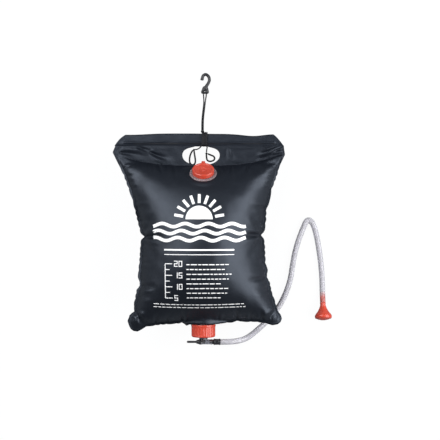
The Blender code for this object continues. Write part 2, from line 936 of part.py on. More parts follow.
def outlet_spout(frame):
    """The threaded spout, with the boat-shaped flange that the two sheets are welded to."""
    half = BOAT_SOLID_HALF_WIDTH
    xs = [half * (2 * i / (BOAT_POINTS - 1) - 1) for i in range(BOAT_POINTS)]
    upper = [(x, boat_lift(x) - BOAT_CLEAR) for x in xs]
    outline = upper[::-1] + [(x, -height) for x, height in upper]
    depth = BOAT_DEPTH - GAP
    boat = plate("outlet_spout", [outline], depth, clear_plastic())
    put(boat, frame, (0, 0, -GAP - depth / 2))
    low = -BOAT_DEPTH
    barrel = cylinder("outlet_spout_barrel", SPOUT_R, low + 2 * GAP, SPOUT_LENGTH)
    combine(boat, put(barrel, frame), "UNION")
    ridge = thread_ridge(
        "outlet_spout_thread", SPOUT_R, OUTLET_RIDGE_START, OUTLET_PITCH,
        OUTLET_RIDGE_TURNS, OUTLET_RIDGE_R,
    )
    combine(boat, put(ridge, frame), "UNION")
    bore = cylinder("outlet_spout_bore", SPOUT_BORE_R, low - OVERRUN, SPOUT_LENGTH + OVERRUN)
    combine(boat, put(bore, frame), "DIFFERENCE")


def gasket_start():
    return SPOUT_LENGTH + GAP


def valve_flange_start():
    return gasket_start() + GASKET_T + GAP


def outlet_gasket(frame):
    low = gasket_start()
    high = low + GASKET_T
    profile = ((GASKET_BORE_R, high), (GASKET_R, high), (GASKET_R, low), (GASKET_BORE_R, low))
    put(turned("outlet_gasket", profile, seal_rubber(), closed=True), frame)


def outlet_cap(frame):
    hole = VALVE_NECK_R + VALVE_NECK_CLEAR
    ledge = valve_flange_start() + VALVE_FLANGE_T + GAP
    profile = (
        (hole, OUTLET_CAP_END),
        (OUTLET_CAP_R - OUTLET_CAP_EDGE, OUTLET_CAP_END),
        (OUTLET_CAP_R, OUTLET_CAP_END - OUTLET_CAP_EDGE),
        (OUTLET_CAP_R, OUTLET_CAP_START),
        (OUTLET_CAP_BORE_R, OUTLET_CAP_START),
        (OUTLET_CAP_BORE_R, ledge),
        (hole, ledge),
    )
    obj = put(turned("outlet_cap", profile, red_plastic(), closed=True), frame)
    ridge = thread_ridge(
        "outlet_cap_thread", OUTLET_CAP_BORE_R, OUTLET_RIDGE_START + OUTLET_PITCH / 2,
        OUTLET_PITCH, OUTLET_RIDGE_TURNS, OUTLET_RIDGE_R,
    )
    combine(obj, put(ridge, frame), "UNION")


# Valve: its frame lies across the bag's middle line, with Z along the valve towards the hose


def valve_frame():
    return empty("valve_frame", (0, VALVE_Y, SEAM_Z), Matrix.Rotation(math.pi / 2, 3, "Y"))


def valve_body(outlet, frame):
    """The smoky tee: a barrel across, and the neck and flange that the outlet cap holds."""
    profile = ((0, VALVE_RIGHT), (VALVE_R, VALVE_RIGHT), (VALVE_R, VALVE_LEFT), (0, VALVE_LEFT))
    obj = put(turned("valve_body", profile, smoky_plastic(), steps=VALVE_STEPS), frame)
    low = valve_flange_start()
    neck_profile = (
        (0, VALVE_DROP - VALVE_R / 8),
        (VALVE_LINK_R, VALVE_DROP - VALVE_R / 8),
        (VALVE_LINK_R, VALVE_DROP - VALVE_R - GAP),
        (VALVE_NECK_R, VALVE_DROP - VALVE_R - GAP),
        (VALVE_NECK_R, low + VALVE_FLANGE_T),
        (VALVE_FLANGE_R, low + VALVE_FLANGE_T),
        (VALVE_FLANGE_R, low),
        (0, low),
    )
    neck = turned("valve_body_neck", neck_profile, None, keep=False)
    combine(obj, put(neck, outlet), "UNION")
    bore = cylinder(
        "valve_body_bore", VALVE_BORE_R, VALVE_LEFT - OVERRUN, VALVE_RIGHT + OVERRUN, VALVE_STEPS
    )
    combine(obj, put(bore, frame), "DIFFERENCE")
    port = cylinder("valve_body_port", PORT_R, low - OVERRUN, VALVE_DROP, steps=SMALL_STEPS)
    combine(obj, put(port, outlet), "DIFFERENCE")


def bonnet_left():
    return VALVE_LEFT - GAP - BONNET_LENGTH


def valve_bonnet(frame):
    right = VALVE_LEFT - GAP
    left = bonnet_left()
    profile = (
        (VALVE_BORE_R, right),
        (VALVE_R, right),
        (VALVE_R, right - BONNET_SHOULDER),
        (BONNET_TIP_R, left),
        (BONNET_BORE_R, left),
        (BONNET_BORE_R, right - BONNET_CAVITY),
        (VALVE_BORE_R, right - BONNET_CAVITY),
    )
    put(turned("valve_bonnet", profile, black_plastic(), closed=True, steps=VALVE_STEPS), frame)


def groove_middles():
    return [PISTON_LEFT + inset for inset in GROOVE_INSETS]


def valve_stem(frame):
    """The piston with its two grooves, the rod, and the spike that is pulled."""
    right = PISTON_LEFT + PISTON_LENGTH
    profile = [(0, right), (PISTON_R, right)]
    for middle in reversed(groove_middles()):
        high, low = middle + GROOVE_WIDTH / 2, middle - GROOVE_WIDTH / 2
        profile += [(PISTON_R, high), (GROOVE_R, high), (GROOVE_R, low), (PISTON_R, low)]
    shoulder = bonnet_left() - GAP
    profile += [
        (PISTON_R, PISTON_LEFT),
        (STEM_R, PISTON_LEFT),
        (STEM_R, shoulder),
        (SPIKE_R, shoulder),
        (SPIKE_TIP_R, shoulder - SPIKE_LENGTH + SPIKE_TIP_R / 2),
        (0, shoulder - SPIKE_LENGTH),
    ]
    put(turned("valve_stem", profile, black_plastic(), steps=SMALL_STEPS), frame)


def o_ring(name, middle, frame):
    sides = 6
    turns = [2 * math.pi * i / sides for i in range(sides)]
    profile = [
        (RING_R - RING_WIRE_R * math.cos(a), middle + RING_WIRE_R * math.sin(a)) for a in turns
    ]
    put(turned(name, profile, seal_rubber(), closed=True, steps=SMALL_STEPS), frame)


def coupling_places():
    """Along the valve: the spigot's end, the barrel's two ends and the barb's tip."""
    spigot = VALVE_RIGHT - COUPLING_SPIGOT
    barrel = VALVE_RIGHT + GAP + COUPLING_WAIST
    return spigot, barrel, barrel + COUPLING_LENGTH, barrel + COUPLING_LENGTH + BARB_LENGTH


def barb_profile(tip, base):
    """Two low ridges on a barb, from its tip to its base."""
    span = tip - base
    shares = ((1.0, -2), (0.93, 0), (0.72, 1), (0.68, 0), (0.45, 0), (0.38, 1), (0.34, 0), (0, 0))
    return [(BARB_R + ridge * BARB_RIDGE, base + span * share) for share, ridge in shares]


def hose_coupling(frame):
    spigot, left, right, tip = coupling_places()
    spigot_r = VALVE_BORE_R - GAP
    profile = [(BARB_BORE_R, tip)] + barb_profile(tip, right)
    profile += [
        (COUPLING_R - COUPLING_EDGE, right),
        (COUPLING_R, right - COUPLING_EDGE),
        (COUPLING_R, left + COUPLING_EDGE),
        (COUPLING_R - COUPLING_EDGE, left),
        (COUPLING_WAIST_R, left),
        (COUPLING_WAIST_R, VALVE_RIGHT + GAP),
        (spigot_r, VALVE_RIGHT + GAP),
        (spigot_r, spigot),
        (BARB_BORE_R, spigot),
    ]
    put(turned("hose_coupling", profile, black_plastic(), closed=True, steps=VALVE_STEPS), frame)


# Hose and shower head


def head_matrix():
    """The middle of the head's face, with Z out of the face; the rim rests on the floor."""
    height = RIM_R * math.cos(HEAD_TILT) + RIM_DEPTH * math.sin(HEAD_TILT)
    place = Matrix.Translation((*HEAD_FACE_XY, height))
    down = Matrix.Rotation(HEAD_YAW, 4, "Z") @ Matrix.Rotation(math.pi / 2 - HEAD_TILT, 4, "X")
    return place @ down


def hose_points():
    """The hose's middle line: from the coupling, along its route, then straight over the barb."""
    frame = head_matrix()
    straight = 3
    last = [
        frame @ Vector((0, 0, -HEAD_LENGTH - GAP - HEAD_BARB_LENGTH * (straight - i) / straight))
        for i in range(straight + 1)
    ]
    start = Vector((coupling_places()[2] + GAP, VALVE_Y, SEAM_Z))
    return smooth_points([start, *HOSE_ROUTE, *last], HOSE_STEP)


def hose():
    """A tube with a real wall, open at both ends."""
    points = hose_points()
    print("hose length", round(path_length(points), 4))
    outside = tube("hose", points, HOSE_R, None, sides_level=3, capped=False)
    obj = as_mesh(outside, hose_vinyl())
    wall = obj.modifiers.new("wall", "SOLIDIFY")
    wall.thickness = HOSE_WALL
    wall.offset = -1
    wall.use_even_offset = True
    return obj


def head_frame():
    made = empty("head_frame", (0, 0, 0))
    made.matrix_world = head_matrix()
    bpy.context.view_layer.update()
    return made


def shower_head(frame):
    """A flared bell, hollow behind its rose plate, with a barb inside the hose."""
    base, tip = -HEAD_LENGTH, -HEAD_LENGTH - HEAD_BARB_LENGTH
    ledge = -ROSE_T - 2 * GAP
    inner_rim = ROSE_R - ROSE_LEDGE
    profile = [
        (ROSE_R + GAP, 0),
        (RIM_R - RIM_EDGE, 0),
        (RIM_R, -RIM_EDGE),
        (RIM_R, -RIM_DEPTH),
        (BELL_R, -BELL_DEPTH),
        (THROAT_R, -THROAT_DEPTH),
        (WAIST_R, -WAIST_DEPTH),
        (COLLAR_R, -COLLAR_DEPTH),
        (COLLAR_R, base),
    ]
    profile += [(radius, height) for radius, height in reversed(barb_profile(tip, base))]
    profile += [
        (BARB_BORE_R, tip),
        (BARB_BORE_R, -THROAT_DEPTH),
        (BELL_R - BELL_WALL, -BELL_DEPTH + BELL_WALL / 2),
        (inner_rim, -RIM_DEPTH),
        (inner_rim, ledge),
        (ROSE_R + GAP, ledge),
    ]
    put(turned("shower_head", profile, red_plastic(), closed=True), frame)


def rose_plate(frame):
    sides = 6
    outlines = [circle((0, 0), ROSE_R, ROUND_STEPS), circle((0, 0), JET_R, sides)]
    for ring in range(1, JET_RINGS + 1):
        for centre in circle((0, 0), JET_RING_R * ring, JETS_PER_RING * ring):
            outlines.append(circle(centre, JET_R, sides))
    obj = plate("rose_plate", outlines, ROSE_T, red_plastic())
    put(obj, frame, (0, 0, -GAP - ROSE_T / 2))


# Cord, band, knots and hook


def band_points():
    """The band's turns round the sleeve, climbing along X from its left end to its right."""
    turn_length = 2 * BAND_STRAIGHT + 2 * math.pi * BAND_END_R
    count = round(LOOP_POINTS * BAND_TURNS)
    points = []
    for i in range(count + 1):
        turns = BAND_TURNS * i / count
        along = (turns % 1.0) * turn_length
        y, z = stadium_place(along)
        points.append(Vector((BAND_LEFT + BAND_PITCH * turns, SLEEVE_Y + y, SEAM_Z + z)))
    return points


def stadium_place(along):
    """Where a point lies round the sleeve: over the front, round the top, back underneath."""
    half, bend = BAND_STRAIGHT / 2, math.pi * BAND_END_R
    if along < BAND_STRAIGHT:
        return along - half, BAND_END_R
    along -= BAND_STRAIGHT
    if along < bend:
        turn = along / BAND_END_R
        return half + BAND_END_R * math.sin(turn), BAND_END_R * math.cos(turn)
    along -= bend
    if along < BAND_STRAIGHT:
        return half - along, -BAND_END_R
    turn = (along - BAND_STRAIGHT) / BAND_END_R
    return -half - BAND_END_R * math.sin(turn), -BAND_END_R * math.cos(turn)


def least_gap(points, radius):
    """The least gap between turns of a tube, from points at least half a loop apart."""
    least = math.inf
    for i, a in enumerate(points):
        for b in points[i + LOOP_POINTS // 2:]:
            least = min(least, (a - b).length - 2 * radius)
    return least


def cord_band():
    left = smooth_points([*LEFT_END_ROUTE, band_points()[0]], END_STEP)
    right = smooth_points([band_points()[-1], *RIGHT_END_ROUTE], END_STEP)
    turns = band_points()
    print("band: least gap between turns, mm", round(1000 * least_gap(turns, CORD_R), 3))
    points = left[:-1] + turns + right[1:]
    tube("cord_band", points, CORD_R, black_cord(), sides_level=1)


def knot(name, place):
    obj = ball(name, (KNOT_R, KNOT_R, KNOT_R), black_cord(), sides=12)
    obj.location = place


def cord_loop(name, route):
    points = smooth_points(route, LOOP_STEP)
    print(name, "length", round(path_length(points), 4))
    tube(name, points, CORD_R, black_cord(), sides_level=1)


def hanger_knot():
    obj = ball("hanger_knot", (KNOT_HALF_WIDTH, KNOT_R, KNOT_R), black_cord())
    obj.location = (HANGER_X, KNOT_Y, SEAM_Z)


def hanger_points():
    """One cord from the knot up to the hook's eye, round its bar, and back to the knot."""
    middle = smooth_points([*HANGER_ROUTE, HOOK_PIVOT], CORD_STEP)
    total = path_length(middle)
    over, under = [], []
    gone = 0.0
    for i, point in enumerate(middle):
        if i:
            gone += (point - middle[i - 1]).length
        share = max(0.0, 1 - (total - gone) / SPREAD_LENGTH)
        share = share * share * (3 - 2 * share)
        apart = STRAND_APART / 2 + (EYE_LOOP_HALF_WIDTH - STRAND_APART / 2) * share
        rise = EYE_LOOP_RISE * share
        over.append(point + Vector((-apart, 0, rise)))
        under.append(point + Vector((apart, 0, -rise)))
    reach = math.hypot(EYE_LOOP_HALF_WIDTH, EYE_LOOP_RISE)
    pivot = Vector(HOOK_PIVOT)
    bend = []
    for i in range(1, BEND_POINTS):
        turn = math.pi * i / BEND_POINTS
        side = math.cos(turn)
        off = Vector((-EYE_LOOP_HALF_WIDTH * side, reach * math.sin(turn), EYE_LOOP_RISE * side))
        bend.append(pivot + off)
    return over + bend + under[::-1]


def hang_cord():
    points = hanger_points()
    print("hang_cord length", round(path_length(points), 4))
    tube("hang_cord", points, CORD_R, black_cord(), sides_level=1)


def hook():
    """The hook's bent rod joined to its three-cornered eye; the pivot is the eye's bar."""
    rod_z = HOOK_ROD_R - HOOK_PIVOT[2]
    route = [(HOOK_HALF_WIDTH * x, HOOK_HEIGHT * y, rod_z) for x, y in HOOK_SHARES]
    points = smooth_points(route, HOOK_STEP)
    rod = as_mesh(tube("hook_rod", points, HOOK_ROD_R, None), None, keep=False)
    tip = ball("hook_tip", (HOOK_TIP_R, HOOK_TIP_R, HOOK_ROD_R), None, keep=False)
    tip.location = Vector(HOOK_PIVOT) + points[-1]
    rod.location = HOOK_PIVOT
    outline = [(EYE_HALF_WIDTH * x, EYE_HEIGHT * y) for x, y in EYE_SHARES]
    opening = [(EYE_HALF_WIDTH * x, EYE_HEIGHT * y) for x, y in EYE_HOLE_SHARES]
    obj = plate("hook", [outline, opening], EYE_T, black_plastic())
    obj.location = HOOK_PIVOT
    combine(obj, rod, "UNION")
    combine(obj, tip, "UNION")


def build():
    front_panel()
    back_panel()
    header()
    top_sleeve()
    handle_rod()
    filler = filler_frame()
    filler_neck(filler)
    filler_seal(filler)
    filler_cap(filler)
    outlet = outlet_frame()
    outlet_spout(outlet)
    outlet_gasket(outlet)
    outlet_cap(outlet)
    valve = valve_frame()
    valve_body(outlet, valve)
    valve_bonnet(valve)
    valve_stem(valve)
    for name, middle in zip(("stem_ring_outer", "stem_ring_inner"), groove_middles()):
        o_ring(name, middle, valve)
    hose_coupling(valve)
    hose()
    head = head_frame()
    shower_head(head)
    rose_plate(head)
    cord_band()
    knot("tether_knot", LEFT_KNOT)
    cord_loop("tether_loop", LEFT_LOOP_ROUTE)
    knot("tail_knot", RIGHT_KNOT)
    cord_loop("tail_loop", RIGHT_LOOP_ROUTE)
    hanger_knot()
    hang_cord()
    hook()


build()
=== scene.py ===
"""Camp shower bag: the finished look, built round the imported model's own pieces.

Every length is in metres unless it says millimetres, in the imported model's frame: the bag lies on
its back on the floor, +Z is up, +Y points to the hook and +X to the side where the hose lies.
"""

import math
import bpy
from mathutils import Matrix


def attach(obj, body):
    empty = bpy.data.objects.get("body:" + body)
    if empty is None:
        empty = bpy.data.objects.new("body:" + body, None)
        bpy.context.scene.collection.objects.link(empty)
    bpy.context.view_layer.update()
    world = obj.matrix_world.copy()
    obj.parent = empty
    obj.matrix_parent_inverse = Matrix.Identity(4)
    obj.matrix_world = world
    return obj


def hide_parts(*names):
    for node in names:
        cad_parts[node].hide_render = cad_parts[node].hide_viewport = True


bl_info = {
    "name": "Camp Shower Bag",
    "version": (1, 0, 0),
    "blender": (4, 5, 0),
    "location": "3D View > Sidebar > Camp Shower",
    "description": "Dresses a camp shower bag: film, cap, valve, hose, shower head, cord and print",
    "category": "Object",
}

import bmesh
import bpy
import mathutils
import numpy as np

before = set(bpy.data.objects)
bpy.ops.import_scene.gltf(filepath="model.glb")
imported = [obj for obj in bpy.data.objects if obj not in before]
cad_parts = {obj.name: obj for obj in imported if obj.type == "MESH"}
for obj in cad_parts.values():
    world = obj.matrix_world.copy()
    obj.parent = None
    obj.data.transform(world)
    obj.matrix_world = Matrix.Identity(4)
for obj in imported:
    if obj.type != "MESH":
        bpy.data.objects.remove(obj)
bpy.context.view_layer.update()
# Millimetres in a metre
MM = 1000.0


def mm(*numbers, width=2):
    """Rows of points typed in millimetres, in metres."""
    return np.array(numbers).reshape(-1, width) / MM


# Sizes of the bag, the steps along each of its sides and those between a cord's rings
SEAM_Z = 0.086
FILM_T = 0.0008
GAP = 0.0003
CHAMBER_HALF = 0.1795
WELD_RISE = 0.028
SHEET_BOTTOM = -0.1845
SHEET_TOP = 0.2271
WELD_MARGIN = 0.006
FRONT_CROWN = 0.106
BACK_CROWN = 0.098
ACROSS_RISE = 0.76
HOLE_HALF = (0.0430, 0.0232)
HOLE_PLACE = np.array((-0.0055, 0.2048, 0.0))
SLEEVE_Y = 0.2404
FILLER_R = 0.0179
SIDE_STEPS = 400
CORD_STEP = 0.0009
UP = np.array((0.0, 0.0, 1.0))

# The outline of the two sheets, measured as sides from the lower left corner, in x and y
LEFT_SIDE = mm(
    -167.3, -196.6, -171.4, -189.7, -175.1, -177.6, -171, -164.7, -163.6, -158.7, -158.7, -155.9,
    -160.4, -150.4, -161.5, -143.5, -159, -131.9, -153.9, -105.3, -149.7, -98.6, -145.8, -96.6,
    -147.4, -90.3, -150.9, -77.4, -150.4, -62.6, -148.1, -47.8, -145.3, -3.7, -143.5, 9.5,
    -136.3, 17.1, -142.8, 22.4, -145.8, 28.6, -153.4, 59.4, -159.4, 84.1, -165.2, 106.5,
    -183.9, 159.2, -209.8, 211.4, -206.2, 219.5, -203, 227.1,
)
RIGHT_SIDE = mm(
    178.3, -180.4, 181.3, -173, 179.9, -166.3, 169.5, -149.9, 167.4, -137.5, 158.2, -112.7,
    152.9, -88, 149.6, -81.1, 145.7, -77.6, 147.8, -70.7, 148.5, -61.2, 145.9, -52.2,
    143.6, -44.1, 141.6, 0.7, 139.5, 11.3, 133.5, 20.3, 139, 26.1, 141.6, 32.1, 144.8, 56.4,
    145, 71.4, 145.7, 82.9, 152.9, 94.5, 154, 103.7, 157, 124.5, 170, 159.2, 176.4, 180.9,
    188.4, 206, 185.4, 227.1,
)
BOTTOM_SIDE = mm(
    -167.3, -196.6, -161.3, -201.2, -152.5, -202.4, -142.1, -197.3, -130.8, -191, -100.3, -186.4,
    -55.5, -183.9, -49.5, -180.2, -44.9, -183.7, -39.1, -187.8, -31, -185, -24.1, -184.3,
    0, -184.3, 25.6, -184.3, 42.9, -182.7, 67.2, -181.1, 78.3, -177.2, 86.8, -180, 118, -179.7,
    142.7, -182.7, 159.1, -188, 171.6, -186, 178.3, -180.4,
)

# Routes of the hose and the cords on the floor and over the bag
HOSE_ROUTE = mm(
    39.9, -226.1, 86, 56, -226.1, 85.8, 76, -225.2, 80, 95.5, -221.5, 67.5, 112, -214, 50,
    127.5, -203.5, 32, 144, -191, 17.5, 161, -174.5, 9, 176.5, -154.5, 6.8, 189.5, -132, 6.7,
    199.5, -108, 6.7, 206.5, -84, 6.7, 211.5, -54, 6.7, 217, -24, 6.7, 224.5, 3, 6.7,
    232.5, 25, 6.7, 239.5, 42, 6.7, 243.5, 50.2, 6.7, 250.3, 54.6, 6.7, 257.1, 50.2, 6.7,
    261.3, 42.5, 6.7, 267.2, 24, 6.7, 272.5, -2, 6.7, 277.2, -33, 6.7, 280.5, -64, 6.7,
    282.3, -94, 6.7,
    width=3,
)
LEFT_END_ROUTE = mm(
    -19, 218.3, 80, -15, 218.5, 83.5, -10, 220.5, 88, -6, 224, 91.5, -3.3, 228.5, 93,
    width=3,
)
RIGHT_END_ROUTE = mm(
    8.6, 229, 78.6, 8.4, 223.5, 77.2, 7.5, 218, 75, 6.9, 212.3, 72.8,
    width=3,
)
LEFT_LOOP_ROUTE = mm(
    -24.8, 216.3, 77.5, -28.5, 211, 75.5, -31.2, 204, 73, -32.5, 196, 70.5, -31.8, 189, 68.5,
    -28.5, 184.5, 67.2, -24, 183.8, 67, -20, 187, 67.8, -19, 193, 70, -19.8, 201, 72.8,
    -21, 208.5, 75.5, -21.6, 214.2, 77.6,
    width=3,
)
RIGHT_LOOP_ROUTE = mm(
    6.7, 206.8, 70.3, 7, 201, 68.2, 8.2, 195.5, 66.5, 12.5, 192.2, 65, 18.5, 192.2, 64,
    24, 195, 64, 25.8, 199.5, 65, 23.2, 203.5, 66.4, 17.5, 206, 68.2, 12.8, 207.8, 69.8,
    10.3, 208.8, 70.8,
    width=3,
)
HANGER_ROUTE = mm(
    -2.1, 260.6, 83.4, -2.2, 266.2, 75, -2.4, 272.2, 63.7, -2.6, 280, 50, -2.6, 289, 36.5,
    -2.2, 299.5, 24, -1.2, 311, 14.2, 0, 322.5, 8.3, 1.2, 334, 6, 1.9, 346, 5.6,
    width=3,
)
LEFT_KNOT = (-0.0218, 0.2175, 0.0785)
RIGHT_KNOT = (0.0067, 0.2093, 0.0716)
HANGER_KNOT = (-0.0021, 0.2593, 0.0860)
HOOK_PIVOT = np.array((0.0023, 0.3588, 0.0056))
HEAD_FACE = np.array((0.2838, -0.1790, 0.020988))
HEAD_OUT = np.array((0.017071, -0.977999, 0.207912))
FILLER_PLACE = np.array((0.0, 0.161126, 0.115020))
FILLER_OUT = np.array((0.0, 0.782994, 0.622029))


# Paths and grids


def unit(vectors):
    vectors = np.asarray(vectors, float)
    return vectors / np.maximum(np.linalg.norm(vectors, axis=-1, keepdims=True), 1e-12)


def step_up(x):
    """From 0 at 0 to 1 at 1, level at both ends."""
    x = np.clip(x, 0, 1)
    return x * x * (3 - 2 * x)


def hump(x, width, power=2):
    """A bell curve: 1 at 0, and near 0 past twice the width."""
    return np.exp(-np.abs(x / width) ** power)


def circle(steps):
    """A row of angles once round."""
    return np.linspace(0, 2 * math.pi, steps, endpoint=False)[None, :]


def run_of(path):
    """The length along a path at each of its points."""
    return np.concatenate([[0], np.cumsum(np.linalg.norm(np.diff(path, axis=0), axis=1))])


def resampled(points, step=None, count=None):
    """The same line with its points evenly apart, by linear steps along its length."""
    points = np.asarray(points, float)
    along = run_of(points)
    count = count or max(2, round(along[-1] / step))
    want = np.linspace(0, along[-1], count + 1)
    return np.stack([np.interp(want, along, column) for column in points.T], axis=1)


def smooth_path(route, step):
    """A Catmull-Rom curve: between two route points it is the cubic whose slope at each is half
    the chord between that point's neighbours."""
    p = np.asarray(route, float)
    p = np.vstack([2 * p[0] - p[1], p, 2 * p[-1] - p[-2]])
    t = np.linspace(0, 1, 24, endpoint=False)[None, :, None]
    a, b, c, d = (p[i:len(p) - 3 + i][:, None, :] for i in range(4))
    fine = 0.5 * (2 * b + (c - a) * t + (2 * a - 5 * b + 4 * c - d) * t**2
                  + (3 * b - a - 3 * c + d) * t**3)
    return resampled(np.vstack([fine.reshape(-1, p.shape[1]), p[-2]]), step)


def skin(grid, close_rows=False, close_cols=True):
    """Points and four-cornered faces of a grid of points, closed on itself where asked."""
    rows, cols, width = grid.shape
    i, j = np.meshgrid(
        np.arange(rows if close_rows else rows - 1),
        np.arange(cols if close_cols else cols - 1),
        indexing="ij",
    )
    up, over = (i + 1) % rows, (j + 1) % cols
    corners = [i * cols + j, i * cols + over, up * cols + over, up * cols + j]
    return grid.reshape(-1, width), np.stack(corners, axis=-1).reshape(-1, 4)


def walled(outer, inner):
    """The skin of a tube with a wall, from the grids of its two sides."""
    return skin(np.concatenate([outer, inner[::-1]]), True)


def joined(*shapes):
    """Several shapes' points and faces as one."""
    starts = np.cumsum([0, *(len(points) for points, _ in shapes)])
    faces = [theirs + start for (_, theirs), start in zip(shapes, starts)]
    return np.vstack([points for points, _ in shapes]), np.vstack(faces)


def added(name, data):
    """A new object in the scene."""
    made = bpy.data.objects.new(name, data)
    bpy.context.scene.collection.objects.link(made)
    return made


def new_piece(name, shape, look, slot, body, *nodes, closed=True, rough=40):
    """Makes a piece at the origin from points and faces, which moves with its CAD body."""
    points, faces = shape
    mesh = bpy.data.meshes.new(name)
    mesh.from_pydata(points.tolist(), [], faces.tolist())
    form = bmesh.new()
    form.from_mesh(mesh)
    bmesh.ops.remove_doubles(form, verts=form.verts, dist=1e-6)
    bmesh.ops.dissolve_degenerate(form, edges=form.edges, dist=1e-7)
    if closed:
        bmesh.ops.recalc_face_normals(form, faces=form.faces)
    form.to_mesh(mesh)
    form.free()
    mesh.shade_smooth()
    mesh.set_sharp_from_angle(angle=math.radians(rough))
    piece = added(name, mesh)
    mesh.materials.append(LOOKS[look])
    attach(piece, body)
    if nodes:
        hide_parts(*nodes)
    return piece


# Turned shapes: a profile of radius and height carried round an axis


def axes_from(place, out):
    """Directions of a frame whose third axis is out and whose first is near X, and its place."""
    out = unit(out)
    across = unit(np.array((1.0, 0.0, 0.0)) - out[0] * out)
    return across, np.cross(out, across), out, np.asarray(place, float)


OUTLET_AXES = axes_from((0, SHEET_BOTTOM, SEAM_Z), (0, -1, 0))
FILLER_AXES = axes_from(FILLER_PLACE, FILLER_OUT)
HEAD_AXES = axes_from(HEAD_FACE, HEAD_OUT)
VALVE_AXES = (-UP, np.array((0.0, 1.0, 0.0)), np.array((1.0, 0.0, 0.0)),
              np.array((0.0, -0.2261, SEAM_Z)))


def placed(axes, x, y, z):
    """Points from their distances along a frame's three directions."""
    across, over, out, place = axes
    return place + x[..., None] * across + y[..., None] * over + z[..., None] * out


def eased(profile, radius, closed=True, arc_points=5):
    """The profile with each corner rounded: a quadratic curve between points a radius away,
    or a third of the shorter side where the sides are short."""
    p = np.asarray(profile, float)
    before, after = np.roll(p, 1, axis=0), np.roll(p, -1, axis=0)
    to_before, to_after = before - p, after - p
    near = np.minimum(np.linalg.norm(to_before, axis=1), np.linalg.norm(to_after, axis=1)) / 3
    reach = np.minimum(radius, near)[:, None]
    start, end = p + unit(to_before) * reach, p + unit(to_after) * reach
    t = np.linspace(0, 1, arc_points)[None, :, None]
    curve = (1 - t) ** 2 * start[:, None] + 2 * t * (1 - t) * p[:, None] + t**2 * end[:, None]
    if not closed:
        curve = curve[1:-1]
        return np.vstack([p[:1], curve.reshape(-1, 2), p[-1:]])
    return curve.reshape(-1, 2)


def fine_rows(profile, step):
    """The closed profile with points added, so that no side is longer than the step."""
    p = np.vstack([profile, profile[:1]])
    made = []
    for a, b in zip(p[:-1], p[1:]):
        count = max(1, math.ceil(np.linalg.norm(b - a) / step))
        made.append(a + (b - a) * np.arange(count)[:, None] / count)
    return np.vstack(made)


def turned(axes, steps, corner, profile, row=0, ribs=None):
    """A turned shape: place + r(cos a X + sin a Y) + h Z. The profile is rows of r and h in
    millimetres, as are its corners' radius and its longest row. It closes on itself unless it
    starts on the axis. Ribs is a function of angle, radius and height that gives r its grips."""
    p = mm(*profile)
    closed = p[0, 0] > 0
    p = eased(p, corner / MM, closed)
    if row:
        p = fine_rows(p, row / MM)
    angle = circle(steps)
    radius, height = p[:, :1] + 0 * angle, p[:, 1:] + 0 * angle
    if ribs:
        radius = ribs(angle, radius, height)
    return skin(placed(axes, radius * np.cos(angle), radius * np.sin(angle), height), closed)


# Tubes and laid cord: a section carried along a path


def rings(path, radius, sides, spare, strands=0, oval=(1, 1), closed=False):
    """Rings round a path: centre + r(cos a S + sin a U), with S square to the path and the spare
    direction, and U to both. For laid cord, r has strands lobes that turn once in each pitch."""
    pitch, lobe = 0.0058, 0.14
    ahead = (np.roll(path, -1, axis=0) - np.roll(path, 1, axis=0) if closed
             else np.gradient(path, axis=0))
    ahead = unit(ahead)
    side = unit(np.cross(ahead, spare))
    up = np.cross(side, ahead)
    angle = circle(sides)
    r = np.broadcast_to(np.asarray(radius, float).reshape(-1, 1), (len(path), 1)) + 0 * angle
    if strands:
        turn = angle - 2 * math.pi * run_of(path)[:, None] / pitch
        r = r * (1 - lobe * (1 - np.abs(np.cos(strands / 2 * turn))))
    wide, tall = oval
    return (path[:, None] + (wide * r * np.cos(angle))[..., None] * side[:, None]
            + (tall * r * np.sin(angle))[..., None] * up[:, None])


def capped(grid):
    """A closed skin over rings of points, with a round cap of three shrinking rings at each end."""
    caps = []
    for ring, before in ((grid[0], grid[1]), (grid[-1], grid[-2])):
        middle = ring.mean(axis=0)
        radius = np.linalg.norm(ring - middle, axis=1).mean()
        reach = unit((ring - before).mean(axis=0)) * radius * 0.35
        caps.append(np.array([middle + (ring - middle) * share + reach * rise
                              for share, rise in ((0.8, 0.55), (0.45, 0.9), (0.0, 1.0))]))
    return skin(np.concatenate([caps[0][::-1], grid, caps[1]]))


# The bag's outline: four measured sides, each split into a slow curve and its fine puckers


def side_line(points, reach, outward=(0, 0), lobes=0):
    """Even points along a side, as (slow curve, fine part). The slow curve is the side's distance
    from its chord, averaged over a window, with both ends kept. The fine part is the rest and
    uneven small lobes, the size of a sine's, with a notch between each two."""
    line = resampled(points, count=SIDE_STEPS)
    chord = np.linspace(line[0], line[-1], SIDE_STEPS + 1)
    off = line - chord
    window, soft = (np.hanning(size) / np.hanning(size).sum() for size in (2 * reach + 1, 7))
    wide = np.vstack([-off[reach:0:-1], off, -off[-2:-reach - 2:-1]])
    slow = np.stack([np.convolve(column, window, "valid") for column in wide.T], axis=1)
    slow[0] = slow[-1] = 0
    fine = np.stack([np.convolve(column, soft, "same") for column in (off - slow).T], axis=1)
    share = np.linspace(0, 1, SIDE_STEPS + 1)
    uneven = 0.8 * np.sin(5.3 * share + lobes) + 0.35 * np.sin(31 * share)
    small = np.abs(np.sin(math.pi * (lobes * share + uneven))) ** 0.7 - 0.7
    small = small * step_up(share / 0.10) * step_up((0.90 - share) / 0.06)
    return chord + slow, fine + small[:, None] * np.asarray(outward)


SIDES = {
    "left": side_line(LEFT_SIDE, 60, (-0.0021, 0), 23),
    "right": side_line(RIGHT_SIDE, 60, (0.0021, 0), 25),
    "bottom": side_line(BOTTOM_SIDE, 40, (0, -0.0014), 17),
    "top": side_line(((-0.2030, SHEET_TOP), (0.1854, SHEET_TOP)), 40),
}


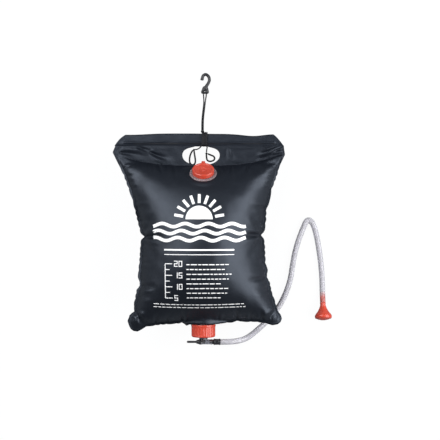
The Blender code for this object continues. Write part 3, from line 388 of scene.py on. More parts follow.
def on_side(name, part, share):
    """Points of a side's slow curve, part 0, or of its fine part, 1, at shares of its length."""
    steps = np.arange(SIDE_STEPS + 1)
    at = np.clip(share, 0, 1) * SIDE_STEPS
    return np.stack([np.interp(at, steps, column) for column in SIDES[name][part].T], axis=-1)


def bag_plane(s, t):
    """Where shares across and up the sheet lie, seen from above. It is a Coons patch on the slow
    sides, the sum of the two ruled surfaces less the bilinear one, and the fine puckers fade
    inwards from each side."""
    wide, tall, fade = 0.30, 0.41, 0.020
    s1, t1 = s[..., None], t[..., None]
    low, high = SIDES["bottom"][0], SIDES["top"][0]
    place = ((1 - s1) * on_side("left", 0, t) + s1 * on_side("right", 0, t)
             + (1 - t1) * on_side("bottom", 0, s) + t1 * on_side("top", 0, s))
    place = place - ((1 - s1) * (1 - t1) * low[0] + s1 * (1 - t1) * low[-1]
                     + (1 - s1) * t1 * high[0] + s1 * t1 * high[-1])
    place = place + on_side("left", 1, t) * np.exp(-s1 * wide / fade)
    place = place + on_side("right", 1, t) * np.exp(-(1 - s1) * wide / fade)
    return place + on_side("bottom", 1, s) * np.exp(-t1 * tall / (0.6 * fade))


def arch(share, rise):
    """A circle's arc over its chord: 1 in the middle, 0 at the ends."""
    radius = (1 + rise * rise) / (2 * rise)
    inside = np.clip(np.abs(share), 0, 1)
    return (np.sqrt(radius * radius - inside**2) - (radius - rise)) / rise


def creases(*numbers):
    """Rows of seven numbers, as what each crease takes: start x and y in millimetres, direction x
    and y, and length, depth and width in millimetres. One of negative depth is a ridge."""
    rows = np.array(numbers).reshape(-1, 7)
    return [(row[:2] / MM, row[2:4], *row[4:] / MM) for row in rows]


def crease(x, y, start, towards, length, depth, width):
    """Height change of one crease: a bell-shaped groove with a ridge on both sides, which starts
    at a point, opens as it runs and fades out at its length."""
    way = unit(towards)
    dx, dy = x - start[0], y - start[1]
    share = (dx * way[0] + dy * way[1]) / length
    off = dy * way[0] - dx * way[1]
    strong = step_up(share / 0.10) * (1 - step_up((share - 0.15) / 0.85))
    w = width * (0.55 + 0.9 * np.clip(share, 0, 1))
    ridges = 0.5 * (hump(off - 1.9 * w, w) + hump(off + 1.9 * w, w))
    return depth * strong * (ridges - hump(off, w))


# Creases seen on the front
FRONT_CREASES = creases(
    -160, -154, 0.62, -0.78, 62, 5, 7.5,
    170, -149, -0.63, -0.77, 60, 5, 7.5,
    -139, 18.1, 1.0, -0.02, 54, 12, 5.8,
    -139, 19, 0.62, -1.0, 70, 4, 6,
    -139, 16, 0.55, 1.0, 75, 3.5, 6.5,
    136, 20.3, -1.0, 0.03, 54, 12, 5.8,
    136, 21.5, -0.6, -1.0, 75, 4, 6.5,
    136, 19, -0.5, 1.0, 80, 3.5, 6.5,
    -146.5, -96.6, 1.0, 0.05, 46, 6, 4.8,
    146.2, -77.6, -1.0, -0.05, 50, 6, 4.8,
    145.5, 82.9, -1.0, 0.06, 46, 4.5, 4.8,
    -153, 55, 1.0, 0.02, 42, 3.6, 4.5,
    -159, 85, 1.0, -0.1, 44, 3.2, 4.5,
    145.5, 48, -1.0, 0.0, 38, 3, 4.2,
    -148.3, -44, 1.0, 0.04, 36, 2.6, 4.2,
    143, -40, -1.0, 0.0, 36, 2.8, 4.2,
    156, -108, -1.0, 0.12, 44, 3.6, 4.5,
    -156, -122, 1.0, 0.15, 44, 3.6, 4.5,
    -197, 199, 0.93, -0.37, 150, 2.6, 10,
    -190, 190, 0.8, -0.6, 120, 1.8, 12,
    180, 196, -0.92, -0.36, 135, 3.4, 9.5,
    174, 188, -0.75, -0.66, 110, 2, 12,
    -110, 190.5, 0.5, -0.86, 50, 3, 5,
    -70, 183.5, 0.25, -0.97, 42, 2.4, 4.8,
    66, 182.5, -0.2, -0.97, 46, 2.8, 4.8,
    108, 189, -0.48, -0.86, 52, 3, 5,
    -50, -181, 0.15, 1.0, 40, 4.2, 4.2,
    78, -178, -0.1, 1.0, 42, 4.2, 4.2,
    -82, -184, 0.05, 1.0, 32, 2.6, 4,
    110, -180, -0.15, 1.0, 34, 2.6, 4,
    46, -182, 0.05, 1.0, 30, 2.2, 4,
    -112, -187, 0.22, 1.0, 42, 3.4, 4.5,
    140, -183, -0.32, 1.0, 44, 3.4, 4.5,
)

# The back's, at the waist and the bottom corners
BACK_CREASES = creases(
    -139, 18.1, 1.0, 0.02, 54, 11, 5.8,
    136, 20.3, -1.0, -0.03, 54, 11, 5.8,
    -160, -154, 0.62, -0.78, 55, 7, 5.8,
    170, -149, -0.63, -0.77, 55, 7, 5.8,
    -139, 16, 0.6, 1.0, 60, 4, 6.5,
    136, 19, -0.6, -1.0, 60, 4, 6.5,
    -146.5, -96.6, 1.0, 0.05, 46, 4.5, 4.8,
    145.5, 82.9, -1.0, 0.06, 46, 4.5, 4.8,
)

# Folds seen in the header
HEADER_FOLDS = creases(
    -190, 229.0, 1.0, -0.03, 60, 3.6, 5.0,
    -158, 229.5, 0.90, -0.44, 70, 3.4, 5.6,
    -125, 212.5, 0.90, -0.42, 76, 3.4, 5.2,
    -196, 211.0, 1.0, -0.10, 100, 3.0, 6.0,
    184, 230.0, -0.89, -0.45, 90, -5.2, 4.4,
    186, 209.0, -1.0, -0.20, 80, 3.0, 5.0,
    120, 229.0, -1.0, 0.02, 70, 2.2, 4.4,
    58, 221.0, 0.08, -1.0, 36, -1.8, 4.2,
)


def small_creases(seed):
    """Short creases at uneven spaces along the sides and the two welds, from a seeded list."""
    rng = np.random.default_rng(seed)
    made, inset, count = [], 0.004, 26
    for name, inward in (("left", 1), ("right", -1)):
        share = (np.arange(count) + rng.uniform(0.15, 0.85, count)) / count
        for x, y in sum(on_side(name, part, 0.06 + 0.84 * share) for part in (0, 1)):
            lean = rng.uniform(-0.35, 0.35)
            made.append(((x + inward * inset, y), (inward, lean), rng.uniform(0.014, 0.032),
                         rng.uniform(0.0007, 0.0021), rng.uniform(0.0021, 0.0034)))
    for count, up in ((24, 1), (22, -1)):
        for x in -0.165 + 0.325 * (np.arange(count) + rng.uniform(0.1, 0.9, count)) / count:
            y = SHEET_BOTTOM + inset if up > 0 else CHAMBER_HALF + WELD_RISE * abs(x / 0.18) ** 3
            made.append(((x, y), (rng.uniform(-0.3, 0.3), up), rng.uniform(0.014, 0.034),
                         rng.uniform(0.0005, 0.0018), rng.uniform(0.0022, 0.0036)))
    return made


def waves(x, y, seed, count, shortest, longest, height):
    """A sum of slow sine waves in seeded directions, each as high as it is long."""
    rng = np.random.default_rng(seed)
    total = 0 * x
    for _ in range(count):
        long = rng.uniform(shortest, longest)
        turn, phase = rng.uniform(0, math.pi), rng.uniform(0, 2 * math.pi)
        along = x * math.cos(turn) + y * math.sin(turn)
        total = total + long / longest * np.sin(2 * math.pi / long * along + phase)
    return height * total / math.sqrt(count)


def middle_height(x, y):
    """How far the welded edges and the header wave up and down from the seam's plane."""
    header = step_up((y - 0.150) / 0.05)
    quiet = step_up((np.abs(x) - 0.020) / 0.06)
    edge = step_up((np.abs(x) - 0.10) / 0.05)
    rise = waves(x, y, 5, 7, 0.035, 0.075, 0.0016) * edge
    fold = sum(crease(x, y, *one) for one in HEADER_FOLDS)
    fold += waves(x, 2.2 * y, 11, 6, 0.03, 0.08, 0.0014)
    bar = step_up((SHEET_TOP - y) / 0.010)
    droop = -0.010 * step_up((np.abs(x) - 0.150) / 0.06) * step_up((-0.13 - y) / 0.06)
    return (rise * (1 - header) + fold * header * quiet) * bar + droop


def boat(x, b):
    """The sheets' rise over the outlet's boat-shaped flange, near the bottom weld."""
    half, tallest = 0.062, 0.0235
    height = tallest * np.cos(np.clip(np.abs(x) / half, 0, 1) * math.pi / 2) ** 2
    return height * np.clip((-b - 0.6) / 0.3, 0, 1)


def sheet_places(s, b, header, crown, folds, seed):
    """Points of a sheet's inner face, as heights over the seam, for shares across the sheet and up
    the chamber; header is the share from the chamber's weld to the sleeve, and 0 below it. Past 1
    it is hidden in the sleeve, where the sheet narrows."""
    s, b, header = np.broadcast_arrays(s, b, header)
    bottom_weld, rounding = 0.012, 0.010
    a = 2 * s - 1
    weld = (CHAMBER_HALF + WELD_RISE * np.abs(a) ** 3 - SHEET_BOTTOM) / (SHEET_TOP - SHEET_BOTTOM)
    t = bottom_weld + (weld - bottom_weld) * (b + 1) / 2
    t = np.where(b < -1, 0, t)
    t = np.where(header > 0, weld + (1 - weld) * np.minimum(header, 1), t)
    place = bag_plane(s, t)
    hidden = np.maximum(header - 1, 0)
    x, y = place[..., 0] * (1 - 0.35 * hidden), place[..., 1] + 0.05 * hidden
    wide = on_side("right", 0, t)[..., 0] - on_side("left", 0, t)[..., 0]
    a = np.clip(a / (1 - 2 * WELD_MARGIN / wide), -1, 1)
    b = np.clip(b, -1, 1)
    dome = crown * (1 + 0.9 * a**2 * b**2) * arch(a, ACROSS_RISE) * arch(b, crown / CHAMBER_HALF)
    dome = np.maximum(dome, 0)
    change = waves(x, y, seed, 9, 0.05, 0.14, 0.0011)
    change = change + waves(x, y, seed + 1, 8, 0.02, 0.045, 0.00030)
    for one in (*folds, *small_creases(seed + 2)):
        change = change + crease(x, y, *one)
    rise = np.maximum(dome + change * np.clip(dome / rounding, 0, 1), 0)
    rise = (rise**4 + boat(x, b) ** 4) ** 0.25
    rise = np.where(b <= -1, boat(x, b), rise)
    return x, y, np.where((header > 0) | (np.abs(a) >= 1), 0, rise)


def front_point(s, b, header):
    """A point of the front sheet's inner face, drawn onto the flat seat under the filler."""
    x, y, rise = sheet_places(s, b, header, FRONT_CROWN, FRONT_CREASES, 21)
    seam = SEAM_Z + middle_height(x, y) + GAP / 2
    points = np.stack([x, y, seam + rise], axis=-1)
    off = points - (FILLER_PLACE - FILM_T * FILLER_OUT)
    height = (off @ FILLER_OUT)[..., None] * FILLER_OUT
    away = np.linalg.norm(off - height, axis=-1)
    seat_r, blend = 0.046, 0.013
    smooth = step_up((seat_r - away) / blend) * np.where(rise > 0, 1, 0)
    points = points - height * smooth[..., None]
    points[..., 2] = np.maximum(points[..., 2], seam)
    return points


def back_point(s, b, header):
    """A point of the back sheet's inner face, pressed flat where the bag lies on the floor."""
    x, y, rise = sheet_places(s, b, header, BACK_CROWN, BACK_CREASES, 43)
    height = SEAM_Z + middle_height(x, y) - rise - GAP / 2
    return np.stack([x, y, np.maximum(height, FILM_T + 0.0001)], axis=-1)


def sheet_grid():
    """Shares across, up the chamber and up the header, closer together near the edges. Two rows
    lie below the chamber, and two are hidden in the sleeve."""
    bend, across, up, over = 1.42, 197, 171, 22
    s, b = (np.sin(bend * np.linspace(-1, 1, count)) / math.sin(bend) for count in (across, up))
    b = np.concatenate([[-1.1, -1.05], b, np.ones(over + 2)])
    header = np.concatenate([np.zeros(up + 2), np.linspace(0, 1, over + 1)[1:], [1.06, 1.12]])
    return (0.5 + 0.5 * s)[None, :], b[:, None], header[:, None]


def hand_share(flat):
    """The hand hole: round below, and above drawn to a blunt peak by the band. It is where the
    two shares of its half sizes, to a power, sum to 1; the power is 2.15 below, and above it
    falls from that at the two ends to 1.5 at the peak."""
    across, up = flat[:, 0] / HOLE_HALF[0], flat[:, 1] / HOLE_HALF[1]
    level = np.abs(across) / np.maximum(np.hypot(across, up), 1e-9)
    power = np.where(up > 0, 1.50 + 0.65 * step_up((level - 0.4) / 0.6), 2.15)
    return (np.abs(across) ** power + np.abs(up) ** power) ** (1 / power)


def filler_share(flat):
    """The round hole under the filler, as a share of its radius."""
    return np.linalg.norm(flat, axis=1) / FILLER_R


# Holes: place, direction, reach along it, and the share of the hole's edge at which a point lies
HAND_HOLE = (HOLE_PLACE, UP, math.inf, hand_share)
FILLER_HOLE = (FILLER_PLACE, FILLER_OUT, 0.01, filler_share)


def open_hole(points, faces, place, out, reach, share):
    """Takes out the faces inside a hole and slides the rim's points onto its edge, share 1."""
    off = points - place
    height = off @ out
    flat = off - height[:, None] * out
    value = np.where(np.abs(height) < reach, share(flat), math.inf)
    keep = (value[faces] > 1).sum(axis=1) >= 2
    rim = np.intersect1d(faces[keep], faces[~keep])
    points[rim] += flat[rim] * (1 / value[rim, None] - 1)
    return points, faces[keep]


def film_sheet(name, point, side, holes, *nodes):
    """One sheet of film: the grid of its inner face, its holes, and a wall on its outer side."""
    points, faces = skin(point(*sheet_grid()), close_cols=False)
    for hole in holes:
        points, faces = open_hole(points, faces, *hole)
    used, index = np.unique(faces[:, ::side], return_inverse=True)
    shape = points[used], index.reshape(-1, 4)
    piece = new_piece(name, shape, "film", "black_vinyl", "bag", *nodes, closed=False, rough=80)
    wall = piece.modifiers.new("wall", "SOLIDIFY")
    wall.thickness = FILM_T - 0.0001
    wall.offset = 1
    wall.use_even_offset = False
    return piece


# Materials

FILM_TINT = (0.73, 0.83, 1.0)


def put(socket, value):
    """Links a socket to another, or sets its own value; a colour comes without its alpha."""
    if isinstance(value, bpy.types.NodeSocket):
        socket.id_data.links.new(value, socket)
    else:
        socket.default_value = (*value, 1) if socket.type == "RGBA" else value


def linked(tree, kind, **values):
    """A new node with its inputs given by name, and its properties by lower-case name."""
    node = tree.nodes.new(kind)
    for name, value in values.items():
        if name.islower():
            setattr(node, name, value)
        else:
            put(node.inputs[name.replace("_", " ")], value)
    return node


def ranged(tree, value, low, high, first, last):
    """A socket that goes from the first number to the last as the value goes from low to high."""
    return linked(tree, "ShaderNodeMapRange", Value=value, From_Min=low, From_Max=high,
                  To_Min=first, To_Max=last).outputs["Result"]


def tinted(tree, share, first, second):
    """A socket that goes from the first colour to the second as the share goes from 0 to 1."""
    mix = linked(tree, "ShaderNodeMix", data_type="RGBA")
    for i, value in ((0, share), (6, first), (7, second)):
        put(mix.inputs[i], value)
    return mix.outputs[2]


def noise(tree, where, scale, detail, roughness):
    """A socket of slow or fine noise, from 0 to 1."""
    return linked(tree, "ShaderNodeTexNoise", Vector=where, Scale=scale, Detail=detail,
                  Roughness=roughness).outputs["Fac"]


def parts_of(made):
    """A look's node tree, the shader in it, and the object's own coordinates."""
    tree = made.node_tree
    return tree, tree.nodes["Principled BSDF"], tree.nodes["Texture Coordinate"].outputs["Object"]


def surface(name, base, light, rough, spread, patch, grain, bump, depth=0.0003, **sockets):
    """A look whose colour drifts between two colours by slow noise, whose roughness varies by a
    finer noise, and whose bump is that finer noise. Its noises are read at the object's own
    coordinates."""
    made = bpy.data.materials.new(name)
    made.use_nodes = True
    made.node_tree.nodes.new("ShaderNodeTexCoord")
    tree, shade, where = parts_of(made)
    slow, fine = noise(tree, where, patch, 4.0, 0.55), noise(tree, where, grain, 5.0, 0.6)
    lumps = linked(tree, "ShaderNodeBump", Strength=bump, Distance=depth, Height=fine)
    sockets.update(Base_Color=tinted(tree, slow, base, light), Normal=lumps.outputs["Normal"],
                   Roughness=ranged(tree, fine, 0.3, 0.7, rough - spread, rough + spread))
    for name, value in sockets.items():
        put(shade.inputs[name.replace("_", " ")], value)
    return made


def deepened(made, colour, density):
    """The same look, with a colour that the plastic takes on with its thickness."""
    tree = made.node_tree
    body = linked(tree, "ShaderNodeVolumeAbsorption", Density=density, Color=colour)
    put(tree.nodes["Material Output"].inputs["Volume"], body.outputs[0])
    return made


def painted_barb_light(made, place, colour):
    """The same look, with painted light near a point: the hose's end over the red barb is painted
    red, standing in for the lit barb seen through the clear wall, which renders dark in there.
    """
    tree, shade, where = parts_of(made)
    away = linked(tree, "ShaderNodeVectorMath", operation="DISTANCE")
    put(away.inputs[0], where)
    put(away.inputs[1], place)
    # painted light: the share of the barb's red painted on, strongest at the hose's end
    near = ranged(tree, away.outputs["Value"], 0.012, 0.026, 0.85, 0.0)
    base = shade.inputs["Base Color"]
    put(base, tinted(tree, near, base.links[0].from_socket, colour))
    return made


def film_look():
    """Black vinyl film: a dull sheen with cloudy patches, duller over the welded header, and a
    second, wider bump for the creep of the film between its folds."""
    colours = bpy.context.scene.camp_shower_colours
    made = surface("film", colours.film, colours.film_pale, 0.45, 0.05, 9.0, 260.0, 0.14,
                   Specular_IOR_Level=0.56, Specular_Tint=FILM_TINT)
    tree, shade, where = parts_of(made)
    wide = linked(tree, "ShaderNodeBump", Strength=0.28, Distance=0.0009,
                  Height=noise(tree, where, 48.0, 3.0, 0.5),
                  Normal=shade.inputs["Normal"].links[0].from_socket)
    put(shade.inputs["Normal"], wide.outputs["Normal"])
    split = linked(tree, "ShaderNodeSeparateXYZ", Vector=where)
    sheen = ranged(tree, split.outputs["Y"], 0.165, 0.200, 0.56, 0.42)
    put(shade.inputs["Specular IOR Level"], sheen)
    return made


LOOKS = {}


def make_looks():
    """Each look's two colours, roughness and its spread, patch and grain scales, and bump."""
    colours = bpy.context.scene.camp_shower_colours
    LOOKS.update(
        film=film_look(),
        sleeve=surface("sleeve film", (0.0040, 0.0052, 0.0086), (0.0075, 0.0098, 0.0145), 0.46,
                       0.05, 22.0, 320.0, 0.20, Specular_IOR_Level=0.40, Specular_Tint=FILM_TINT),
        red=surface("red plastic", colours.red, colours.red_pale, 0.21, 0.03, 45.0, 300.0, 0.03,
                    Specular_IOR_Level=0.5, Subsurface_Weight=0.04, Subsurface_Scale=0.002),
        black=surface("black plastic", colours.black, colours.black_pale, 0.36, 0.06, 80.0, 520.0,
                      0.12, Specular_IOR_Level=0.5),
        flange=surface("flange vinyl", (0.50, 0.40, 0.43), (0.60, 0.50, 0.52), 0.28, 0.05, 70.0,
                       420.0, 0.08, Transmission_Weight=0.72, IOR=1.45),
        smoky=deepened(surface("smoky plastic", (0.46, 0.47, 0.51), (0.54, 0.55, 0.59), 0.12, 0.03,
                               90.0, 300.0, 0.03, Transmission_Weight=0.92, IOR=1.47),
                       (0.36, 0.37, 0.43), 210.0),
        # the hose's end carries painted light: red standing in for the lit barb seen through its
        # wall
        hose=painted_barb_light(
            deepened(surface("hose vinyl", colours.hose, colours.hose_pale, 0.11, 0.03, 22.0, 60.0,
                             0.02, Transmission_Weight=0.50, IOR=1.38),
                     (0.78, 0.76, 0.83), 230.0),
            HEAD_FACE - 0.040 * HEAD_OUT, (0.62, 0.10, 0.07)),
        rubber=surface("seal rubber", (0.020, 0.019, 0.019), (0.035, 0.033, 0.032), 0.62, 0.08,
                       90.0, 650.0, 0.2, Specular_IOR_Level=0.3),
        cord=surface("black cord", colours.cord, colours.cord_pale, 0.70, 0.08, 180.0, 1600.0,
                     0.30, depth=0.00015, Specular_IOR_Level=0.22),
        ink=surface("white print", colours.ink, colours.ink_pale, 0.52, 0.07, 40.0, 600.0, 0.10,
                    depth=0.0001, Specular_IOR_Level=0.35),
    )


def across(name):
    """A diameter that the panel holds, in metres, rounded to a micrometre."""
    return round(getattr(bpy.context.scene.camp_shower_sizes, name), 6)


# Pieces


def film_front():
    """The front sheet with the header above it, from the bottom edge to the sleeve."""
    film = film_sheet("front_sheet", front_point, 1, (HAND_HOLE, FILLER_HOLE), "front_panel",
                      "header_left", "header_middle", "header_right")
    return film


def film_back():
    """The back sheet, from the bottom edge to the sleeve."""
    film = film_sheet("back_sheet", back_point, -1, (HAND_HOLE,), "back_panel")


def hem_sleeve():
    """The folded hem: a flat loop of film carried along X. Its section is a stadium whose front
    and back bulge over the rod by a bell curve; its lower lip lies over the header, its ends are
    cut on a slant, and its upper edge swells left of the middle and dips near its right end."""
    above, below, end_r, lip = 0.0130, 0.0155, 0.0046, 0.0016
    rod_y, rod_half, bulge_high = -0.0060, 0.167, 0.0052
    turn = circle(120)
    along = np.linspace(-1, 1, 240)[:, None]
    half = np.where(np.sin(turn) > 0, above, below)
    y = half * np.sign(np.sin(turn)) * np.abs(np.sin(turn)) ** 0.8
    thick = end_r * np.sqrt(np.clip(1 - (np.abs(y) / half) ** 4, 0, 1))
    thick = np.where(y < -0.008, np.minimum(thick, lip + 0.45 * (y + below)), thick)
    inside = step_up((rod_half - 0.172 * np.abs(along)) / 0.012)
    bulge = bulge_high * hump(y - rod_y, 0.0050) * (0.25 + 0.75 * inside)
    thick = np.maximum(thick * (0.62 + 0.10 * inside), bulge)
    z = thick * np.sign(np.cos(turn)) * np.abs(np.cos(turn)) ** 0.55
    low = np.clip(0.5 - y / (2 * above), 0, 1.1)
    left, right = -0.1790 - 0.0245 * low**0.7, 0.1610 + 0.0232 * low**0.8
    x = left + (right - left) * (along + 1) / 2
    edge = step_up((np.abs(x) - 0.02) / 0.05)
    wavy = edge * waves(x, 3 * y, 31, 8, 0.03, 0.09, 0.0012)
    bow = (0.0016 * hump(x + 0.036, 0.070) - 0.0016 * step_up((-0.10 - x) / 0.08)
           - 0.0040 * hump(x - 0.117, 0.030))
    y = (y + edge * waves(x, 0 * y, 33, 5, 0.05, 0.12, 0.0007)
         + bow * step_up((y + 0.002) / 0.012))
    z = z * (1 + 90 * wavy)
    outer, inner = (np.stack([x, SLEEVE_Y + wide * y, SEAM_Z + tall * z + 0.4 * wavy], axis=-1)
                    for wide, tall in ((1, 1), (0.93, 0.84)))
    new_piece("hem_sleeve", walled(outer, inner), "sleeve", "black_vinyl", "bag", "top_sleeve",
              rough=60)


def grips(count, depth, low, high):
    """Radius with rounded grips between two heights in millimetres, on the outside only: less the
    depth times the power 1.5 of a raised cosine."""
    end = 0.0015

    def shaped(angle, radius, height):
        amount = step_up((height - low / MM) / end) * step_up((high / MM - height) / end)
        amount = amount * step_up(10 * radius / radius.max() - 8)
        return radius - depth / MM * amount * (0.5 + 0.5 * np.cos(count * angle)) ** 1.5

    return shaped


def filler_flange():
    """The pale flange with its raised weld ring, and the short neck under the cap."""
    shape = turned(FILLER_AXES, 96, 0.5, (
        16.2, 7, 19.4, 7, 19.4, 4.8, 20, 4.4, 20, 3.8, 19.4, 3.4, 19.6, 2.3, 26.2, 2.1, 27.2, 2.5,
        29, 2.5, 30, 1.9, 31, 1.4, 31, 0.3, 17.6, 0.3, 17.6, -3.5, 16.2, -3.5,
    ))
    new_piece("filler_flange", shape, "flange", "clear_plastic", "bag", "filler_neck")


def slab(axes, outline, low, high, edge=0.0005):
    """A flat piece with a rounded edge: rings of its outline drawn in and out along the axis."""
    middle = outline.mean(axis=0)
    reach = np.linalg.norm(outline - middle, axis=1).mean()
    inset = np.array((reach, edge, 0.3 * edge, 0))
    inset = np.concatenate([inset, inset[::-1]])[:, None]
    height = np.array((low, low, low + 0.3 * edge, low + edge, high - edge, high - 0.3 * edge,
                       high, high))[:, None]
    flat = middle + (outline - middle) * (1 - inset[..., None] / reach)
    return skin(placed(axes, flat[..., 0], flat[..., 1], height + 0 * flat[..., 0]))


def rounded_outline(corners, radius, step=0.0004):
    """A closed outline with rounded corners."""
    line = eased(corners, radius, True, 7)
    return resampled(np.vstack([line, line[:1]]), step)[:-1]


def filler_lid():
    """The red cap: a dished top inside a raised rim, with a boss in its middle, fine grips round
    its wall, and the pull tab."""
    shape = turned(FILLER_AXES, 160, 0.6, (
        0, 10.6, 2.4, 10.6, 3.2, 9.7, 7.8, 9.7, 8.8, 10.8, 20, 11.4, 21, 13.2, 23.6, 13.2,
        25, 11.7, 25, 2.7, 20.8, 2.7, 20.8, 8.4, 0, 8.4,
    ), ribs=grips(56, 0.6, 3.0, 10.0))
    tab = rounded_outline(mm(-5.0, 22.5, 5.0, 22.5, 4.2, 32.5, -4.2, 32.5), 0.0022)
    x, y, z, place = FILLER_AXES
    tab_axes = (x, unit(y + 0.32 * z), z, place)
    new_piece("filler_lid", joined(shape, slab(tab_axes, tab, 0.0004, 0.0032)), "red",
              "red_plastic", "filler_cap", "filler_cap")


def outlet_nut():
    """The red union nut: a smooth band at the bag, ribs round the rest and a stepped front."""
    shape = turned(OUTLET_AXES, 360, 0.7, (
        10.4, 30.5, 17, 30.5, 17.8, 29.7, 25.2, 29.7, 26.4, 29, 27.6, 26.8, 27.7, 6.2, 28.2, 5.2,
        28.2, 0.8, 22.3, 0.8, 22.3, 27.3, 10.4, 27.3,
    ), 1.2, grips(26, 0.6, 6.6, 26.8))
    new_piece("outlet_nut", shape, "red", "red_plastic", "outlet_cap", "outlet_cap")


def valve_tee():
    """The smoky tee: a hollow barrel across, and a neck with its flange, each with a bead."""
    barrel = turned(VALVE_AXES, 80, 0.5, (
        4.4, -4.6, 6.3, -4.6, 6.3, -3, 5.85, -2.4, 5.85, 16.8, 6.3, 17.4, 6.3, 20.6, 4.4, 20.6,
    ))
    neck = turned(OUTLET_AXES, 80, 0.6, (
        2.5, 40.8, 4.3, 40.8, 4.3, 35.1, 9.8, 34.7, 9.8, 27.3, 19, 27, 19, 25.1, 2.5, 25.1,
    ))
    new_piece("valve_tee", joined(barrel, neck), "smoky", "smoky_plastic", "valve", "valve_body")


def valve_collar():
    """The black bonnet, tapered to the spike in two steps."""
    shape = turned(VALVE_AXES, 144, 0.4, (
        4.4, -4.9, 6.35, -4.9, 6.35, -9.2, 5.6, -9.8, 5, -12.8, 4.6, -13.2, 3.9, -16.6, 2, -16.6,
        2, -12.4, 4.4, -12.4,
    ), 0.8, grips(24, 0.4, -9.2, -5.6))
    new_piece("valve_collar", shape, "black", "black_plastic", "valve", "valve_bonnet")


def valve_spike():
    """The stem that is pulled: its piston with two grooves, its rod and the tapered spike."""
    shape = turned(VALVE_AXES, 64, 0.3, (
        0, 4.3, 4.1, 4.3, 4.1, 2.95, 2.7, 2.95, 2.7, 1.25, 4.1, 1.25, 4.1, -0.85, 2.7, -0.85,
        2.7, -2.55, 4.1, -2.55, 4.1, -3.9, 1.7, -3.9, 1.7, -16.6, 2.6, -17, 2.6, -19, 2.4, -20,
        2.6, -22.5, 2.6, -36.2, 1.8, -38.1, 0, -38.1,
    ))
    new_piece("valve_spike", shape, "black", "black_plastic", "valve_stem", "valve_stem")


def coupling_barrel():
    """The black coupling: a ribbed barrel with a bead at each end, and the barb in the hose."""
    shape = turned(VALVE_AXES, 144, 0.4, (
        2.8, 53, 3.8, 53, 4.2, 52, 4.4, 49.2, 4.2, 48.8, 4.2, 45.6, 4.4, 44.7, 4.2, 44.2,
        4.2, 39.6, 6.3, 39.6, 7.3, 38.8, 7.3, 36.6, 6.8, 36, 6.8, 27.2, 7.3, 26.6, 7.3, 24.4,
        6.3, 23.6, 5.6, 23.6, 5.6, 20.9, 4.1, 20.9, 4.1, 14, 2.8, 14,
    ), 1.0, grips(28, 0.5, 27.6, 35.6))
    new_piece("coupling_barrel", shape, "black", "black_plastic", "valve", "hose_coupling")


def head_bell():
    """The red shower head: a bell that flares to a round rim, its neck, and its barb in the
    hose."""
    shape = turned(HEAD_AXES, 128, 1.4, (
        18, -0.2, 19.2, -1, 19.9, -3, 20.3, -5.4, 19.9, -7.6, 18, -10.8, 15.8, -13.6, 13.6, -16.4,
        11.7, -19.4, 10, -22.6, 8.4, -26.2, 7.2, -29.6, 6.5, -32.8, 6.3, -35.2, 6.9, -35.8,
        6.9, -38, 4.2, -38, 4.2, -46.4, 4.4, -48.6, 4.2, -49.7, 4.2, -55.2, 4.4, -57.1, 4.2, -59,
        4.2, -64, 3.7, -66, 2.8, -66, 2.8, -25, 9.8, -15, 16.7, -6, 16.7, -2.4, 18, -2.4,
    ))
    return new_piece("head_bell", shape, "red", "red_plastic", "valve", "shower_head")


def head_rose():
    """The rose plate: a low dome with a raised nozzle round each jet. The height is the dome plus
    a bell curve for each nozzle less a narrower one for its hole."""
    rim, back, apart = 0.0178, -0.0022, 0.0065
    turn = circle(216)
    out = np.linspace(0.0002, rim, 90)[:, None]
    x, y = out * np.cos(turn), out * np.sin(turn)
    height = 0.0040 * (1 - (out / rim) ** 2) + 0 * turn - 0.0006
    for ring in range(3):
        for spot in circle(max(1, 6 * ring))[0]:
            away = np.hypot(x - apart * ring * np.cos(spot), y - apart * ring * np.sin(spot))
            height = height + 0.0006 * hump(away, 0.0014, 4) - 0.0016 * hump(away, 0.00085, 6)
    top, under = placed(HEAD_AXES, x, y, height), placed(HEAD_AXES, x, y, 0 * height + back)
    ends = [side[:1].mean(axis=1, keepdims=True) + 0 * side[:1] for side in (under, top)]
    shape = skin(np.concatenate([ends[0], under, top[::-1], ends[1]]))
    return new_piece("head_rose", shape, "red", "red_plastic", "valve", "rose_plate")


def hose_path():
    """The hose's middle line, from the coupling to the end over the shower head's barb."""
    barb, end = 0.028, 0.038 + GAP
    last = [HEAD_AXES[3] - HEAD_AXES[2] * (end + barb * (3 - i) / 3) for i in range(4)]
    return smooth_path([*HOSE_ROUTE, *last], 0.0022)


def hose_tube():
    """The clear hose, with its real wall. At the bend's crown and at one spot lower down it is
    squeezed to an oval, by a bell curve along its length."""
    path = hose_path()
    along = run_of(path)
    crown = along[np.argmax(path[:, 1])]
    spot = along[np.argmin(np.linalg.norm(path - (0.187, -0.135, 0.0067), axis=1))]
    squeeze = (0.16 * hump(along - crown, 0.012) + 0.06 * hump(along - spot, 0.010))[:, None]
    oval = (1 + 0.5 * squeeze, 1 - squeeze)
    radii = (across("hose") / 2, across("hose_bore") / 2)
    shape = walled(*(rings(path, radius, 40, UP, oval=oval) for radius in radii))
    piece = new_piece("hose_tube", shape, "hose", "hose_vinyl", "valve", "hose", rough=60)
    return piece, path


def hanger_path():
    """One cord from the knot to the hook's eye, round its bar and back to the knot."""
    middle = smooth_path([*HANGER_ROUTE, HOOK_PIVOT], 0.0016)
    gone = run_of(middle)
    share = step_up(1 - (gone[-1] - gone) / 0.026)
    wide, high = 0.0034, 0.0041
    apart, rise = 0.00150 + 0.0019 * share, high * share
    off = np.stack([-apart, 0 * apart, rise], axis=1)
    turn = np.linspace(0, math.pi, 15)[1:-1]
    bend = HOOK_PIVOT + np.stack([-wide * np.cos(turn), math.hypot(wide, high) * np.sin(turn),
                                  high * np.cos(turn)], axis=1)
    return smooth_path(np.vstack([middle + off, bend, (middle - off)[::-1]])[::2], CORD_STEP)


def laid(name, path, spare, body, node, radius):
    """A laid cord of three strands along a path."""
    shape = capped(rings(path, radius, 20, spare, strands=3))
    return new_piece(name, shape, "cord", "black_cord", body, node)


